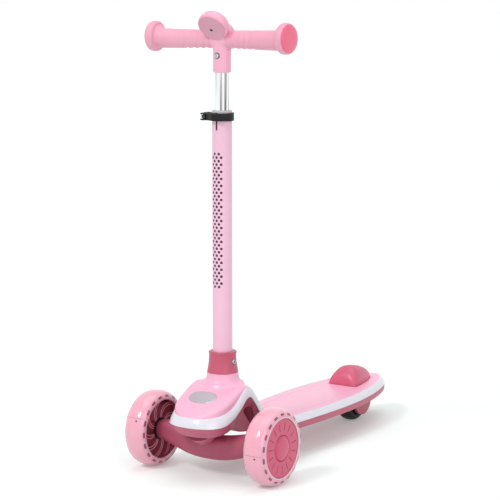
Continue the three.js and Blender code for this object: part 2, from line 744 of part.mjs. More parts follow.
const bearing = (low) =>
  ring(axleRadius + gap / 2, bearingRadius - gap / 2, low, low + bearingWidth, 12);
const axleHeadRadius = 7;
const axleHeadHeight = 3;
const axleRootGap = 1;
for (const [word, side] of [['left', 1], ['right', -1]]) {
  const place = (geometry) =>
    toSide(geometry, side).translate(side * trackHalf, 0, wheelRadius);
  const foot = capFace - capThick;
  const wheelTyre = tyre(wheelRadius, wheelHalfWidth, tyreWidest, [
    [tyreLip, wheelHalfWidth - edgeRound], [tyreLip, foot], [tyreSeat, foot],
    [tyreSeat, recessFace - gap], [tyreBackLip, recessFace - gap],
    [tyreBackLip, edgeRound - wheelHalfWidth],
  ]);
  piece(`tyre_${word}`, place(wheelTyre), clearPink);
  const strip = ring(rimRadius + gap, rimRadius + gap + stripThick, -stripHalfWidth,
    stripHalfWidth, 24);
  piece(`light_strip_${word}`, place(strip), naturalNylon);
  piece(`hub_${word}`, place(toGeometry(wheelHub())), satinRose);
  piece(`hub_cap_${word}`, place(toGeometry(hubCap())), satinRose);
  const bearingLow = -bearingStep - bearingWidth - gap / 2;
  piece(`bearing_inner_${word}`, place(bearing(bearingLow)), plainSteel);
  piece(`bearing_outer_${word}`, place(bearing(bearingStep + gap / 2)), plainSteel);
  const headLow = bearingStep + bearingWidth + 2 * gap;
  const root = axleRoot + axleRootGap - trackHalf;
  const axle = turned([
    [0, root], [axleRadius - gap / 2, root], [axleRadius - gap / 2, headLow],
    [axleHeadRadius, headLow], [axleHeadRadius, headLow + axleHeadHeight],
    [0, headLow + axleHeadHeight],
  ]);
  piece(`wheel_axle_${word}`, place(axle), plainSteel);
}

// Rear wheel, its bracket and axle.
const rearSeat = 29;
const rearHubRadius = 14;
const rearWebHalf = 3;
const rearSeatInset = 1;
const rearHubInset = 2;
const rearPlace = (geometry) => toSide(geometry, 1).translate(0, wheelbase, rearRadius);
const rearTyreWidest = 31;
const rearSeatHalf = rearHalfWidth - rearSeatInset;
const rearTyre = tyre(rearRadius, rearHalfWidth, rearTyreWidest,
  [[rearSeat, rearSeatHalf], [rearSeat, -rearSeatHalf]]);
piece('rear_tyre', rearPlace(rearTyre), satinBlack);

function rearHub() {
  const hole = bearingRadius + gap / 2;
  const rim = rearSeat - gap;
  const half = rearHalfWidth - rearHubInset;
  const lip = bearingRadius - bearingLip;
  const upper = [
    [hole, rearWebHalf], [hole, half], [rearHubRadius, half], [rearHubRadius, rearWebHalf],
    [rim - shellWall, rearWebHalf], [rim - shellWall, half], [rim, half],
  ];
  const profile = [[lip, rearWebHalf], ...upper,
    ...upper.slice().reverse().map(([r, z]) => [r, -z]), [lip, -rearWebHalf], [lip, rearWebHalf]];
  return turned(profile, 20);
}
piece('rear_hub', rearPlace(rearHub()), satinRose);
piece('rear_bearing_left', rearPlace(bearing(rearWebHalf + gap / 2)), plainSteel);
piece('rear_bearing_right',
  rearPlace(bearing(-rearWebHalf - gap / 2 - bearingWidth)), plainSteel);

const earRadius = 27;
const earThick = 5;
const earBack = 6.5; // how far the ear's disc lies behind the axle
const earDrop = 3.5;
const headSeat = 2.2; // ear left under the axle's sunk head
const pressRoom = 5; // the ears step down here, under the pressed fender's skirt
const earClear = 2; // room beside the tyre and under the deck
const earInner = rearHalfWidth + earClear;
const earTop = deckTop - shellWall - earClear;
const bridgeAhead = 51; // the bridge's back face ahead of the rear axle
const bridgeBack = wheelbase - bridgeAhead;
const bracketRun = 14; // length of the block that joins the ears
const pinRadius = 2.5;
const pinAhead = 45;
const pinY = wheelbase - pinAhead;
const pinZ = 56;
function rearBracket() {
  const earMiddle = wheelbase + earBack;
  const ear = (side) => toSide(rod(earRadius, earInner, earInner + earThick, 28), side)
    .translate(0, earMiddle, rearRadius - earDrop);
  const armLow = panDeck + shellWall + gap;
  const armStart = wellFront + gap;
  const armEnd = earMiddle + earRadius;
  const arms = [1, -1].map((side) =>
    block(earThick, armEnd - armStart, earTop - rearRadius)
      .translate(side * (earInner + earThick / 2), (armEnd + armStart) / 2,
        (earTop + rearRadius) / 2));
  const bridge = block(2 * (earInner + earThick), bracketRun, earTop - armLow)
    .translate(0, bridgeBack - bracketRun / 2, (earTop + armLow) / 2);
  const above = block(4 * earInner, 4 * earRadius, earRadius)
    .translate(0, wheelbase, earTop + earRadius / 2);
  const step = block(4 * earInner, 2 * earRadius, earRadius)
    .translate(0, earMiddle + gap + overrun, earTop - pressRoom + earRadius / 2);
  const below = block(4 * earInner, earMiddle - wellFront - earRadius, earTop)
    .translate(0, (wellFront + earMiddle - earRadius) / 2, armLow - earTop / 2);
  const hinge = toSide(rod(pinRadius + gap / 2, -2 * earInner, 2 * earInner, 16), 1)
    .translate(0, pinY, pinZ);
  const hole = toSide(rod(axleRadius + gap / 2, -2 * earInner, 2 * earInner, 20), 1)
    .translate(0, wheelbase, rearRadius);
  const seats = [1, -1].map((side) =>
    toSide(rod(axleHeadRadius + gap, earInner + headSeat, 2 * earInner), side)
      .translate(0, wheelbase, rearRadius));
  const body = joined(ear(1), ear(-1), ...arms, bridge);
  return carved(body, above, step, below, hinge, hole, ...seats);
}
piece('rear_bracket', rearBracket(), satinRose);

const rearHead = earInner + headSeat + gap;
const rearHeadHeight = earThick - headSeat - 2 * gap;
const rearAxle = turned([
  [0, -rearHead - rearHeadHeight], [axleHeadRadius, -rearHead - rearHeadHeight],
  [axleHeadRadius, -rearHead], [axleRadius - gap / 2, -rearHead],
  [axleRadius - gap / 2, rearHead + rearHeadHeight], [0, rearHead + rearHeadHeight],
]);
piece('rear_axle', rearPlace(rearAxle), plainSteel);
const rearNut = nut(axleRadius + gap / 2, axleHeadRadius, rearHead, rearHead + rearHeadHeight);
piece('rear_axle_nut', rearPlace(rearNut), plainSteel);

// Brake: a domed fender hinged at its front, with a steel plate over the wheel.
const lugThick = 2.8;
const lugX = earInner + earThick + 2 * gap + lugThick / 2;
const lugReach = 4.2;
const lugTop = 62.4;
const plateThick = 1.2;
const plateHalfX = 10;
const plateHalfY = 13;
const plateClear = 3.6; // free travel from the plate to the tyre
function brakeFender() {
  const low = deckTop - domeSkirt;
  const shell = domeSolid(0, low).subtract(domeSolid(domeWall, low - overrun));
  const back = domeFront + domeWall;
  const front = pinY - lugReach;
  const foot = pinZ - lugReach;
  const risen = deckTop - domeWall / 2;
  const lugs = [1, -1].flatMap((side) => [
    block(lugThick, back - front, lugTop - foot)
      .translate(side * lugX, (back + front) / 2, (lugTop + foot) / 2),
    block(lugThick, domeWall, risen - foot)
      .translate(side * lugX, domeFront + domeWall / 2, (risen + foot) / 2),
  ]);
  const bore = toSide(rod(pinRadius + slide, -domeHalf, domeHalf, 16), 1)
    .translate(0, pinY, pinZ);
  const post = block(2 * plateHalfX, plateHalfY, domeTop)
    .translate(0, wheelbase, 2 * rearRadius + plateClear + plateThick + gap + domeTop / 2);
  const rib = toSolid(post).intersect(domeSolid(domeWall / 2, low));
  return carved(shell.add(rib).add(joined(...lugs)), bore);
}
piece('brake_fender', brakeFender(), glossCoral);
const plate = block(2 * plateHalfX, 2 * plateHalfY, plateThick)
  .translate(0, wheelbase, 2 * rearRadius + plateClear + plateThick / 2);
piece('brake_plate', plate, plainSteel);
const pinReach = lugX + lugThick / 2;
const brakePin = toSide(rod(pinRadius, -pinReach, pinReach, 16), 1).translate(0, pinY, pinZ);
piece('brake_pin', brakePin, plainSteel);
const springHalf = 5;
const springRadius = 4.5;
const brakeSpring = ring(pinRadius + slide, springRadius, -springHalf, springHalf, 16);
piece('brake_spring', toSide(brakeSpring, 1).translate(0, pinY, pinZ), plainSteel);

// Badge plate: a plain oval that follows the head's crown.
const badgeHalfX = 24;
const badgeHalfY = 12;
const badgeThick = 1.4;
const badgeY = -26;
function badgePlate() {
  const column = rod(1, noseEdge, shoulder, 32).scale(badgeHalfX, badgeHalfY, 1)
    .translate(0, badgeY, 0);
  const proud = topSolid(0, overrun);
  const shifted = proud.translate([0, -badgeThick / 2, badgeThick]);
  const skinTop = topSolid(0, overrun).translate([0, -gap / 4, 2 * gap]);
  return toSolid(column).intersect(shifted).subtract(skinTop).subtract(toSolid(neckCover));
}
piece('badge_plate', badgePlate(), satinSilver);

// Stem: fixed outer tube in its collar, with a slit under the clamp.
const clampBelow = 0.5; // the clamp's top below the stem's
const clampTall = 12;
const clampHigh = stemTop - clampBelow;
const clampLow = clampHigh - clampTall;
const slitWidth = 2.6;
const slitDepth = 26.5;
const slitFoot = stemTop - slitDepth;
const stemPlace = (geometry) => geometry.translate(0, stemY, 0);
const collarClear = 0.4;
const collarTall = 33;
const collarFoot = neckTop + collarClear;
const collarTop = collarFoot + collarTall;
const collarLowRadius = 23.6;
const collarWaist = 20.5;
const collarLip = 21.4;
const collarPower = 2.5;
const collarBore = stemRadius + gap;
const collarCorners = 20;
const boltRadius = 2.5;
const boltHeadRadius = 4.2;
const boltHeadHeight = 3;
const boltAbove = 17.5; // the bolt above the collar's foot
const boltHeight = collarFoot + boltAbove;
const boltSeat = 19;
const socketRadius = 2.2;
const collarLipShare = 0.9;
// Collar rows as [size between waist and foot radius, way up].
const collarShares = [[1, 0], [0.86, 0.1], [0.38, 0.35], [0, 0.72]];
function collar() {
  const squarish = (radius, z) => {
    const loop = [];
    for (let j = 0; j < collarCorners; j++) {
      const turn = (j / collarCorners) * 2 * Math.PI;
      const [c, s] = [Math.cos(turn), Math.sin(turn)];
      const size = (Math.abs(c) ** collarPower + Math.abs(s) ** collarPower) ** (-1 / collarPower);
      loop.push(point(radius * size * c, radius * size * s, z));
    }
    return loop;
  };
  const rows = collarShares.map(([wide, up]) =>
    squarish(lerp(collarWaist, collarLowRadius, wide), lerp(collarFoot, collarTop, up)));
  rows.push(squarish(collarLip, lerp(collarFoot, collarTop, collarLipShare)));
  rows.push(squarish(collarLip, collarTop - edgeRound));
  rows.push(squarish(collarLip - edgeRound, collarTop));
  const bore = rod(collarBore, collarFoot - overrun, collarTop + overrun, 28);
  const screwHole = toSide(rod(boltRadius + gap, -2 * collarLip, 2 * collarLip, 16), 1)
    .translate(0, 0, boltHeight);
  const seats = [1, -1].map((side) =>
    toSide(rod(boltHeadRadius + gap, boltSeat, 2 * collarLip, 20), side)
      .translate(0, 0, boltHeight));
  return carved(toSolid(capped(rows)), bore, screwHole, ...seats);
}
piece('collar', stemPlace(toGeometry(collar())), satinRose);

const boltReach = boltSeat + boltHeadHeight;
const bolt = joined(toSide(turned([
  [0, edgeRound - boltReach], [boltRadius, edgeRound - boltReach],
  [boltRadius, boltSeat + gap], [boltHeadRadius, boltSeat + gap],
  [boltHeadRadius, boltReach], [0, boltReach],
], 20), 1));
const socket = toSide(rod(socketRadius, boltSeat + edgeRound, 2 * boltReach, hexSides), 1);
piece('collar_bolt', stemPlace(toGeometry(carved(bolt, socket)).translate(0, 0, boltHeight)),
  plainSteel);
const collarNut = nut(boltRadius + gap / 2, boltHeadRadius, boltSeat + gap, boltReach);
piece('collar_nut', stemPlace(toSide(collarNut, -1).translate(0, 0, boltHeight)), plainSteel);

function stemTube() {
  const tube = ring(stemRadius - stemWall, stemRadius, stemFoot, stemTop, 32);
  const slit = block(slitWidth, stemRadius, stemTop - slitFoot + overrun)
    .translate(0, -stemRadius, (stemTop + slitFoot + overrun) / 2);
  const boltWay = toSide(rod(boltRadius + gap, -2 * stemRadius, 2 * stemRadius, 16), 1)
    .translate(0, 0, boltHeight);
  return carved(toSolid(tube), slit, boltWay);
}
piece('stem_tube', stemPlace(toGeometry(stemTube())), glossPink);
const bushRim = 3.5;
const bushTop = stemTop + bushRim;
const bushLength = 44;
const tubeBush = turned([
  [innerRadius + slide, stemTop - bushLength], [stemRadius - stemWall - gap, stemTop - bushLength],
  [stemRadius - stemWall - gap, stemTop + gap], [stemRadius, stemTop + gap],
  [stemRadius, bushTop], [innerRadius + slide, bushTop],
  [innerRadius + slide, stemTop - bushLength],
], 28);
piece('tube_bush', stemPlace(tubeBush), naturalNylon);

// Quick-release clamp: a split ring with two ears on the rider's right, a bolt along Y
// and a cam lever that wraps round the front.
const clampWall = 2.6;
const clampOuter = stemRadius + gap + clampWall;
const clampMiddle = (clampLow + clampHigh) / 2;
const earReach = 30;
const earHalf = 4.6; // thickness of one ear
const earSlit = 3;
const boltX = -24.5;
const clampBoltRadius = 2.5;
const clampNutRadius = 5;
const clampNutHeight = 4.5;
const clampBoltProud = 1;
const clampFace = earSlit / 2 + earHalf;
const camRadius = 6.2;
const leverPinRadius = 2;
const leverPivotY = -clampFace - gap - camRadius;
const forkHalf = 2.6; // half height of the slot between the lever's prongs
const eyeRadius = 4.2;
const clampPlace = (geometry) => geometry.translate(0, stemY, clampMiddle);
const clampHalf = (clampHigh - clampLow) / 2;
function clampRing() {
  const ears = block(earReach, 2 * clampFace, 2 * clampHalf).translate(-earReach / 2, 0, 0);
  const bore = rod(stemRadius + gap, -clampHalf - overrun, clampHalf + overrun, 32);
  const split = block(earReach + overrun, earSlit, 2 * (clampHalf + overrun))
    .translate(-(earReach + overrun) / 2, 0, 0);
  const boltHole = toBack(rod(clampBoltRadius + gap, -2 * clampFace, 2 * clampFace, 16))
    .translate(boltX, 0, 0);
  return carved(joined(rod(clampOuter, -clampHalf, clampHalf, 32), ears), bore, split, boltHole);
}
piece('clamp_ring', clampPlace(toGeometry(clampRing())), satinBlack);

function clampBolt() {
  const eye = rod(eyeRadius, -forkHalf + gap, forkHalf - gap, 20);
  const end = clampFace + clampNutHeight + clampBoltProud - leverPivotY;
  const shank = toBack(rod(clampBoltRadius, 0, end, 16));
  const hole = rod(leverPinRadius + gap / 2, -clampHalf, clampHalf, 16);
  return carved(joined(eye, shank), hole);
}
piece('clamp_bolt', clampPlace(toGeometry(clampBolt()).translate(boltX, leverPivotY, 0)),
  plainSteel);
const clampNut = toBack(nut(clampBoltRadius + gap / 2, clampNutRadius, clampFace + gap,
  clampFace + clampNutHeight)).translate(boltX, 0, 0);
piece('clamp_nut', clampPlace(clampNut), plainSteel);
const leverClear = 0.5; // the lever is this much lower than the ring on each side
const leverHalf = clampHalf - leverClear;
const clampPin = rod(leverPinRadius, -leverHalf, leverHalf, 16);
piece('clamp_pin', clampPlace(clampPin.translate(boltX, leverPivotY, 0)), plainSteel);

// The lever's middle line, from its cam round the front to its free tip, as
// [standing off, way round, thickness]: shares of the tip's flare, of the sweep and of the
// half thickness.
const leverOffset = 3.2; // from the ring to the lever's middle
const leverFlare = 9.6;
const leverStart = 208; // degrees round the stem
const leverEnd = 358;
const leverThick = 2.1; // half thickness
const forkClear = 1;
const leverShares = [
  [0.583, 0, 1.524], [0.313, 0.067, 1.381], [0.104, 0.147, 1.095], [0, 0.24, 1],
  [0, 0.347, 1], [0, 0.453, 1], [0, 0.56, 1], [0, 0.667, 1], [0.063, 0.773, 1.048],
  [0.25, 0.867, 1.095], [0.604, 0.947, 1.048], [1, 1, 0.762],
];
function clampLever() {
  const line = leverShares.map(([off, round]) => {
    const far = clampOuter + leverOffset + off * leverFlare;
    const turn = rad(lerp(leverStart, leverEnd, round));
    return new THREE.Vector2(far * Math.cos(turn), far * Math.sin(turn));
  });
  const edge = (sign) => line.map((p, i) => {
    const before = line[Math.max(i - 1, 0)];
    const after = line[Math.min(i + 1, line.length - 1)];
    const half = sign * leverShares[i][2] * leverThick;
    const across = after.clone().sub(before).normalize().multiplyScalar(half);
    return new THREE.Vector2(p.x - across.y, p.y + across.x);
  });
  const plan = new THREE.Shape([...edge(-1), ...edge(1).reverse()]);
  const arm = new THREE.ExtrudeGeometry(plan, { depth: 2 * leverHalf, bevelEnabled: false })
    .translate(0, 0, -leverHalf);
  const atPivot = (geometry) => geometry.translate(boltX, leverPivotY, 0);
  const hub = atPivot(rod(camRadius, -leverHalf, leverHalf, 28));
  const slot = atPivot(rod(camRadius + forkClear, -forkHalf, forkHalf, 28));
  const hole = atPivot(rod(leverPinRadius + slide, -clampHalf, clampHalf, 16));
  return carved(joined(arm, hub), slot, hole);
}
piece('clamp_lever', clampPlace(toGeometry(clampLever())), satinBlack);

// Handlebar: telescopic tube, tee moulding with its pod, bar, grips and end caps.
const innerLength = 281;
const innerBelow = 10.5; // the tube's top below the bar's axis
const innerTop = barHeight - innerBelow;
const innerFoot = innerTop - innerLength;
const neckLength = 50;
const neckFoot = barHeight - neckLength;
const teeRadius = 13.8;
const teeHalf = 14.7;
const teeCross = 14.4;
const gripStart = 15.2;
const flangeWide = 8;
const gripNeck = barReach - flangeWide;
const gripRadius = 13.6; // at its inner end
const gripSwell = 1.7; // how much thicker it is at the flange
const gripClear = 1.7; // room round the grip in the tee
const barSweep = 3.5; // degrees that each grip leans forward
const barMitre = 1; // overlap of the two straight halves in the middle
const barRadius = 9.5;
const barWall = 1.5;
const barShort = 7; // the bar ends this far inside the flange plane
const barHalf = barReach - barShort;
const buttonBelow = 24.5;
const buttonHeight = barHeight - buttonBelow;
const buttonRadius = 4;
const buttonReach = 16.6;
const buttonBack = 7.6;
const buttonStem = 1.5;
const buttonTipShares = [[1, 0.916], [0.72, 0.982]];
const buttonTravel = 3;
const teeScrewBelow = 17;
const teeScrewHeight = barHeight - teeScrewBelow;
const teeScrewRadius = 1.8;
const teeScrewHead = 3.3;
const teeScrewReach = 15.6;
const teeScrewFoot = innerRadius - innerWall - edgeRound;
const teeScrewSeat = teeRadius - edgeRound;
const blendBack = 6.5; // the blend's middle lies this far behind the bar's axis
const blendDeep = 19;
const blendTall = 16.5;
const toFront = (geometry) => geometry.rotateX(Math.PI / 2);
// Lays a shape's Z axis along one half of the bar.
const toBar = (geometry, side) => toSide(geometry, side).rotateZ(-side * rad(barSweep))
  .translate(0, stemY, barHeight);

function innerTube() {
  const tube = ring(innerRadius - innerWall, innerRadius, innerFoot, innerTop, 28);
  const hole = toFront(rod(buttonRadius + slide, 0, 2 * innerRadius, 20))
    .translate(0, 0, buttonHeight);
  const screwHole = toSide(rod(teeScrewRadius + gap, 0, 2 * innerRadius, 14), 1)
    .translate(0, 0, teeScrewHeight);
  return carved(toSolid(tube), hole, screwHole);
}
piece('inner_tube', stemPlace(toGeometry(innerTube())), mirrorChrome);

// Pod: an oval face leaning forward over the tee, with a rounded back.
const podHalfX = 25;
const podHalfY = 26.5;
const podY = 8.3;
const podAbove = 16.5;
const podHeight = barHeight + podAbove;
const podLean = 40; // degrees that its thickness leans back from upright
const podDepth = 22;
const podShares = [
  [0, 0], [0.93, 0], [1, 0.12], [1, 0.34], [0.94, 0.6], [0.76, 0.82], [0.4, 0.97], [0, 1],
];
const podPlace = (geometry) => geometry.rotateX(-rad(podLean)).translate(0, podY, podHeight);
const podScrewRadius = 3;
const podScrewShank = 1.5;
const podScrewDepth = 8;
const podScrewSink = 1.2;
function teeBody() {
  const pod = podPlace(turned(podShares.map(([out, deep]) => [out, deep * podDepth]), 22)
    .scale(podHalfX, podHalfY, 1));
  const neckBody = stemPlace(turned([
    [0, neckFoot], [teeRadius - edgeRound, neckFoot], [teeRadius, neckFoot + edgeRound],
    [teeRadius, barHeight], [0, barHeight],
  ], 28));
  const cross = [1, -1].map((side) => toBar(rod(teeCross, -barMitre, teeHalf, 28), side));
  const blend = new THREE.SphereGeometry(1, 16, 10)
    .scale(teeHalf - gap, blendDeep, blendTall)
    .translate(0, stemY + blendBack, (barHeight + podHeight) / 2);
  const bore = stemPlace(rod(innerRadius + gap / 2, neckFoot - overrun, innerTop + gap, 28));
  const barWay = [1, -1].map((side) =>
    toBar(rod(barRadius + gap / 2, -barMitre - gap, 2 * teeHalf, 20), side));
  const buttonWay = stemPlace(toFront(rod(buttonRadius + slide, 0, 2 * teeRadius, 20))
    .translate(0, 0, buttonHeight));
  const screwWay = stemPlace(toSide(rod(teeScrewRadius + gap, 0, 2 * teeRadius, 14), 1)
    .translate(0, 0, teeScrewHeight));
  const screwSeat = stemPlace(toSide(rod(teeScrewHead + gap, teeScrewSeat, 2 * teeRadius, 18), 1)
    .translate(0, 0, teeScrewHeight));
  const podHole = podPlace(turned([
    [0, -overrun], [podScrewRadius + gap, -overrun], [podScrewRadius + gap, podScrewSink],
    [podScrewShank + gap, podScrewSink], [podScrewShank + gap, podScrewDepth + gap],
    [0, podScrewDepth + gap],
  ], 18));
  const gripRoom = [1, -1].map((side) =>
    toBar(rod(gripRadius + gripClear, gripStart - gap, 2 * podHalfX, 28), side));
  return carved(joined(pod, neckBody, ...cross, blend), bore, ...barWay, buttonWay, screwWay,
    screwSeat, podHole, ...gripRoom);
}
piece('tee_body', teeBody(), softPink);

function barTube() {
  const halves = [1, -1].map((side) => toBar(rod(barRadius, -barMitre, barHalf), side));
  const bores = [1, -1].map((side) =>
    toBar(rod(barRadius - barWall, -barMitre, barHalf + overrun), side));
  return carved(joined(...halves), ...bores);
}
piece('bar_tube', barTube(), plainSteel);
const teeScrew = turned([
  [0, teeScrewFoot], [teeScrewRadius, teeScrewFoot], [teeScrewRadius, teeScrewSeat + gap],
  [teeScrewHead, teeScrewSeat + gap], [teeScrewHead, teeScrewReach - edgeRound],
  [teeScrewHead - edgeRound, teeScrewReach], [0, teeScrewReach],
], 18);
piece('tee_screw', stemPlace(toSide(teeScrew, 1).translate(0, 0, teeScrewHeight)), plainSteel);
const podScrew = turned([
  [0, 0], [podScrewRadius, 0], [podScrewRadius, podScrewSink - gap],
  [podScrewShank, podScrewSink - gap], [podScrewShank, podScrewDepth], [0, podScrewDepth],
], 18);
piece('pod_screw', podPlace(podScrew), oxideSteel);

// Sprung button in the neck, and the leaf spring behind it.
const button = turned([
  [0, 0], [buttonStem, 0], [buttonStem, buttonBack], [buttonRadius, buttonBack],
  ...buttonTipShares.map(([out, along]) => [buttonRadius * out, buttonReach * along]),
  [0, buttonReach],
], 20);
piece('snap_button', stemPlace(toFront(button).translate(0, 0, buttonHeight)), plainSteel);
const leafHalf = 3;
const leafThick = 0.8;
const leafFoot = 30; // how far the leaf's bend lies below the button
const leafBend = 4;
const leafTip = 5;
const leafClear = 1; // between the leaf and the tube's inside
function snapSpring() {
  const near = buttonBack - buttonTravel - gap;
  const far = innerRadius - innerWall - leafClear;
  const side = new THREE.Shape([
    new THREE.Vector2(near, leafTip), new THREE.Vector2(near, 0),
    new THREE.Vector2(0, -leafFoot), new THREE.Vector2(-leafBend, -leafFoot),
    new THREE.Vector2(-far, 0), new THREE.Vector2(-far, leafTip),
    new THREE.Vector2(-far + leafThick, leafTip), new THREE.Vector2(-far + leafThick, 0),
    new THREE.Vector2(-leafBend + leafThick, -leafFoot + leafThick),
    new THREE.Vector2(-leafThick, -leafFoot + leafThick),
    new THREE.Vector2(near - leafThick, 0), new THREE.Vector2(near - leafThick, leafTip),
  ]);
  const body = new THREE.ExtrudeGeometry(side, { depth: 2 * leafHalf, bevelEnabled: false })
    .translate(0, 0, -leafHalf);
  body.rotateX(Math.PI / 2).rotateZ(-Math.PI / 2);
  const hole = toFront(rod(buttonStem + slide, -innerRadius / 2, innerRadius, 16));
  return carved(toSolid(body), hole);
}
piece('snap_spring', stemPlace(toGeometry(snapSpring()).translate(0, 0, buttonHeight)),
  plainSteel);

// Grips: soft sleeves that thicken outwards, with finger grooves underneath and a rounded
// flange that stands higher above the grip than below it.
const grooveCount = 4;
const grooveDepth = 1.3;
const grooveFromShare = 0.06; // where along the grip the grooves lie
const grooveToShare = 0.52;
const flangeLap = 1; // the sleeve runs this far into the flange
const flangeRise = 3; // the flange's middle above the bar's axis
const flangeShares = [
  [0.86, 0], [0.96, 0.14], [1, 0.4], [1, 0.62], [0.97, 0.86], [0.93, 1],
];
const gripSteps = 16;
const gripCorners = 12;
const flangeRadius = 23.6;
function grip(side) {
  const rings = [];
  for (let i = 0; i <= gripSteps; i++) {
    const share = i / gripSteps;
    const along = (share - grooveFromShare) / (grooveToShare - grooveFromShare);
    const grooved = along > 0 && along < 1;
    const wave = grooved ? (1 - Math.cos(along * grooveCount * 2 * Math.PI)) / 2 : 0;
    const loop = [];
    for (let j = 0; j < gripCorners; j++) {
      const turn = (j / gripCorners) * 2 * Math.PI;
      const under = Math.max(0, -Math.sin(turn));
      const radius = gripRadius + gripSwell * share - grooveDepth * wave * under;
      loop.push(point(radius * Math.cos(turn), radius * Math.sin(turn),
        lerp(gripStart, gripNeck + flangeLap, share)));
    }
    rings.push(loop);
  }
  // Turned so that the sine side faces down once the grip lies along the bar.
  const sleeve = capped(rings).rotateZ((side * Math.PI) / 2);
  const flange = turned([
    [0, gripNeck], ...flangeShares.map(([out, up]) =>
      [out * flangeRadius, lerp(gripNeck, barReach, up)]), [0, barReach],
  ], 24).translate(-side * flangeRise, 0, 0);
  const bore = rod(barRadius + gap / 2, gripStart - overrun, barReach + overrun, 20);
  return carved(joined(sleeve, flange), bore);
}
const capHalf = 21.2;
const capDeep = 3.4;
const stubRadius = barRadius - barWall - gap;
const stubLength = 13;
const stubFoot = barReach - stubLength;
const domeShares = [[1, 0], [0.98, 0.35], [0.9, 0.58], [0.7, 0.82], [0.4, 0.96]];
function endCap(side) {
  const base = barReach + gap;
  const face = turned([[0, base], ...domeShares.map(([out, up]) =>
    [out * capHalf, base + up * capDeep]), [0, base + capDeep]], 24);
  return joined(rod(stubRadius, stubFoot, base + gap), face.translate(-side * flangeRise, 0, 0));
}
for (const [word, side] of [['left', 1], ['right', -1]]) {
  piece(`grip_${word}`, toBar(toGeometry(grip(side)), side), softPink);
  piece(`end_cap_${word}`, toBar(toGeometry(endCap(side)), side), glossCoral);
}

scooter.position.y = (trimReach - tailReach) / 2;
export default scooter;
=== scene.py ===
import json
import math
import bmesh
import bpy
import numpy as np
from mathutils import Euler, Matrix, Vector


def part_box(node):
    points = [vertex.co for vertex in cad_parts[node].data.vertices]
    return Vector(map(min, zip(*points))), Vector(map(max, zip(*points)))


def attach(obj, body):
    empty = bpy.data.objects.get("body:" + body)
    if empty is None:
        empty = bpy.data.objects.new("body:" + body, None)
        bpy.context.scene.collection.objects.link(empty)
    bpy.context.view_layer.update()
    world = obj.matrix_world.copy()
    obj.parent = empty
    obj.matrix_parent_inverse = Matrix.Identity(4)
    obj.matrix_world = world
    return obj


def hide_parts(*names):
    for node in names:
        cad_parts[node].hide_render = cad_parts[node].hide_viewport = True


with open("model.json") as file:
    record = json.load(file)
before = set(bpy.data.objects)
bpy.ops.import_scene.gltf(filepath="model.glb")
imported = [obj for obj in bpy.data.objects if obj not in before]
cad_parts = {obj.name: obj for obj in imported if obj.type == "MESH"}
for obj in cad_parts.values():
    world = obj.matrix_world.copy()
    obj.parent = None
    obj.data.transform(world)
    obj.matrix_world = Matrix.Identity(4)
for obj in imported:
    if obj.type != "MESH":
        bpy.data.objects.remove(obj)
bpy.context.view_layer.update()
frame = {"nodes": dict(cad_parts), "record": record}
nodes = frame["nodes"]
mm = 0.001  # metres in a millimetre
gap = 0.35  # clearance between pieces that touch, mm
quarter = math.pi / 2  # a quarter turn


def middleOf(node):
    # Middle of a node's box, in mm
    low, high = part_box(node)
    return np.array((low + high) / 2) / mm


axleLine = middleOf("tyre_left")[1]  # the front axle's place along Y; every shape below counts from it
print("frame loaded,", len(nodes), "nodes")


# Surfaces: a sheet is a grid of points, rows by columns, with both ways open or closed

def sheet(grid, rows=False, columns=False):
    return np.asarray(grid, float), rows, columns


def moved(one, change):
    grid, rows, columns = one
    return change(grid), rows, columns


def mirroredSheet(one):
    grid, rows, columns = one
    return grid * [-1, 1, 1], rows, columns


def withEnds(grid):
    # Rings of points, closed at each end by a row that lies wholly at the middle of the last ring
    ends = [np.broadcast_to(end.mean(0), end.shape)[None] for end in (grid[0], grid[-1])]
    return sheet(np.concatenate([ends[0], grid, ends[1]]), columns=True)


def meshOf(name, sheets, sharp=38):
    # Quads between the neighbours of each grid; points that coincide become one, so seams and poles close
    points = np.vstack([grid.reshape(-1, 3) for grid, _, _ in sheets])
    quads, start = [], 0
    for grid, wrapRows, wrapColumns in sheets:
        index = start + np.arange(grid.shape[0] * grid.shape[1]).reshape(grid.shape[:2])
        start += index.size
        if wrapRows:
            index = np.vstack([index, index[:1]])
        if wrapColumns:
            index = np.hstack([index, index[:, :1]])
        corners = [index[:-1, :-1], index[1:, :-1], index[1:, 1:], index[:-1, 1:]]
        quads.append(np.stack(corners, -1).reshape(-1, 4))
    quads = np.vstack(quads)
    together = 2e-4  # points nearer than this are one, mm
    _, first, same = np.unique(np.round(points / together).astype(np.int64), axis=0,
                               return_index=True, return_inverse=True)
    quads = same.reshape(-1)[quads]
    pairs = quads == np.roll(quads, -1, axis=1)
    whole = (pairs.sum(1) == 0) & (quads[:, 0] != quads[:, 2]) & (quads[:, 1] != quads[:, 3])
    faces = quads[whole].tolist()
    for corner in range(4):
        folded = quads[(pairs.sum(1) == 1) & pairs[:, corner]]
        faces += np.delete(folded, corner, axis=1).tolist()
    mesh = bpy.data.meshes.new(name)
    mesh.from_pydata((points[first] + [0, axleLine, 0]) * mm, [], faces)
    work = bmesh.new()
    work.from_mesh(mesh)
    bmesh.ops.recalc_face_normals(work, faces=work.faces)
    work.to_mesh(mesh)
    work.free()
    mesh.shade_smooth()
    mesh.set_sharp_from_angle(angle=math.radians(sharp))
    return mesh


def inScene(name, data):
    thing = bpy.data.objects.new(name, data)
    bpy.context.scene.collection.objects.link(thing)
    return thing


def objectOf(name, sheets, sharp=38):
    return inScene(name, meshOf(name, sheets, sharp))


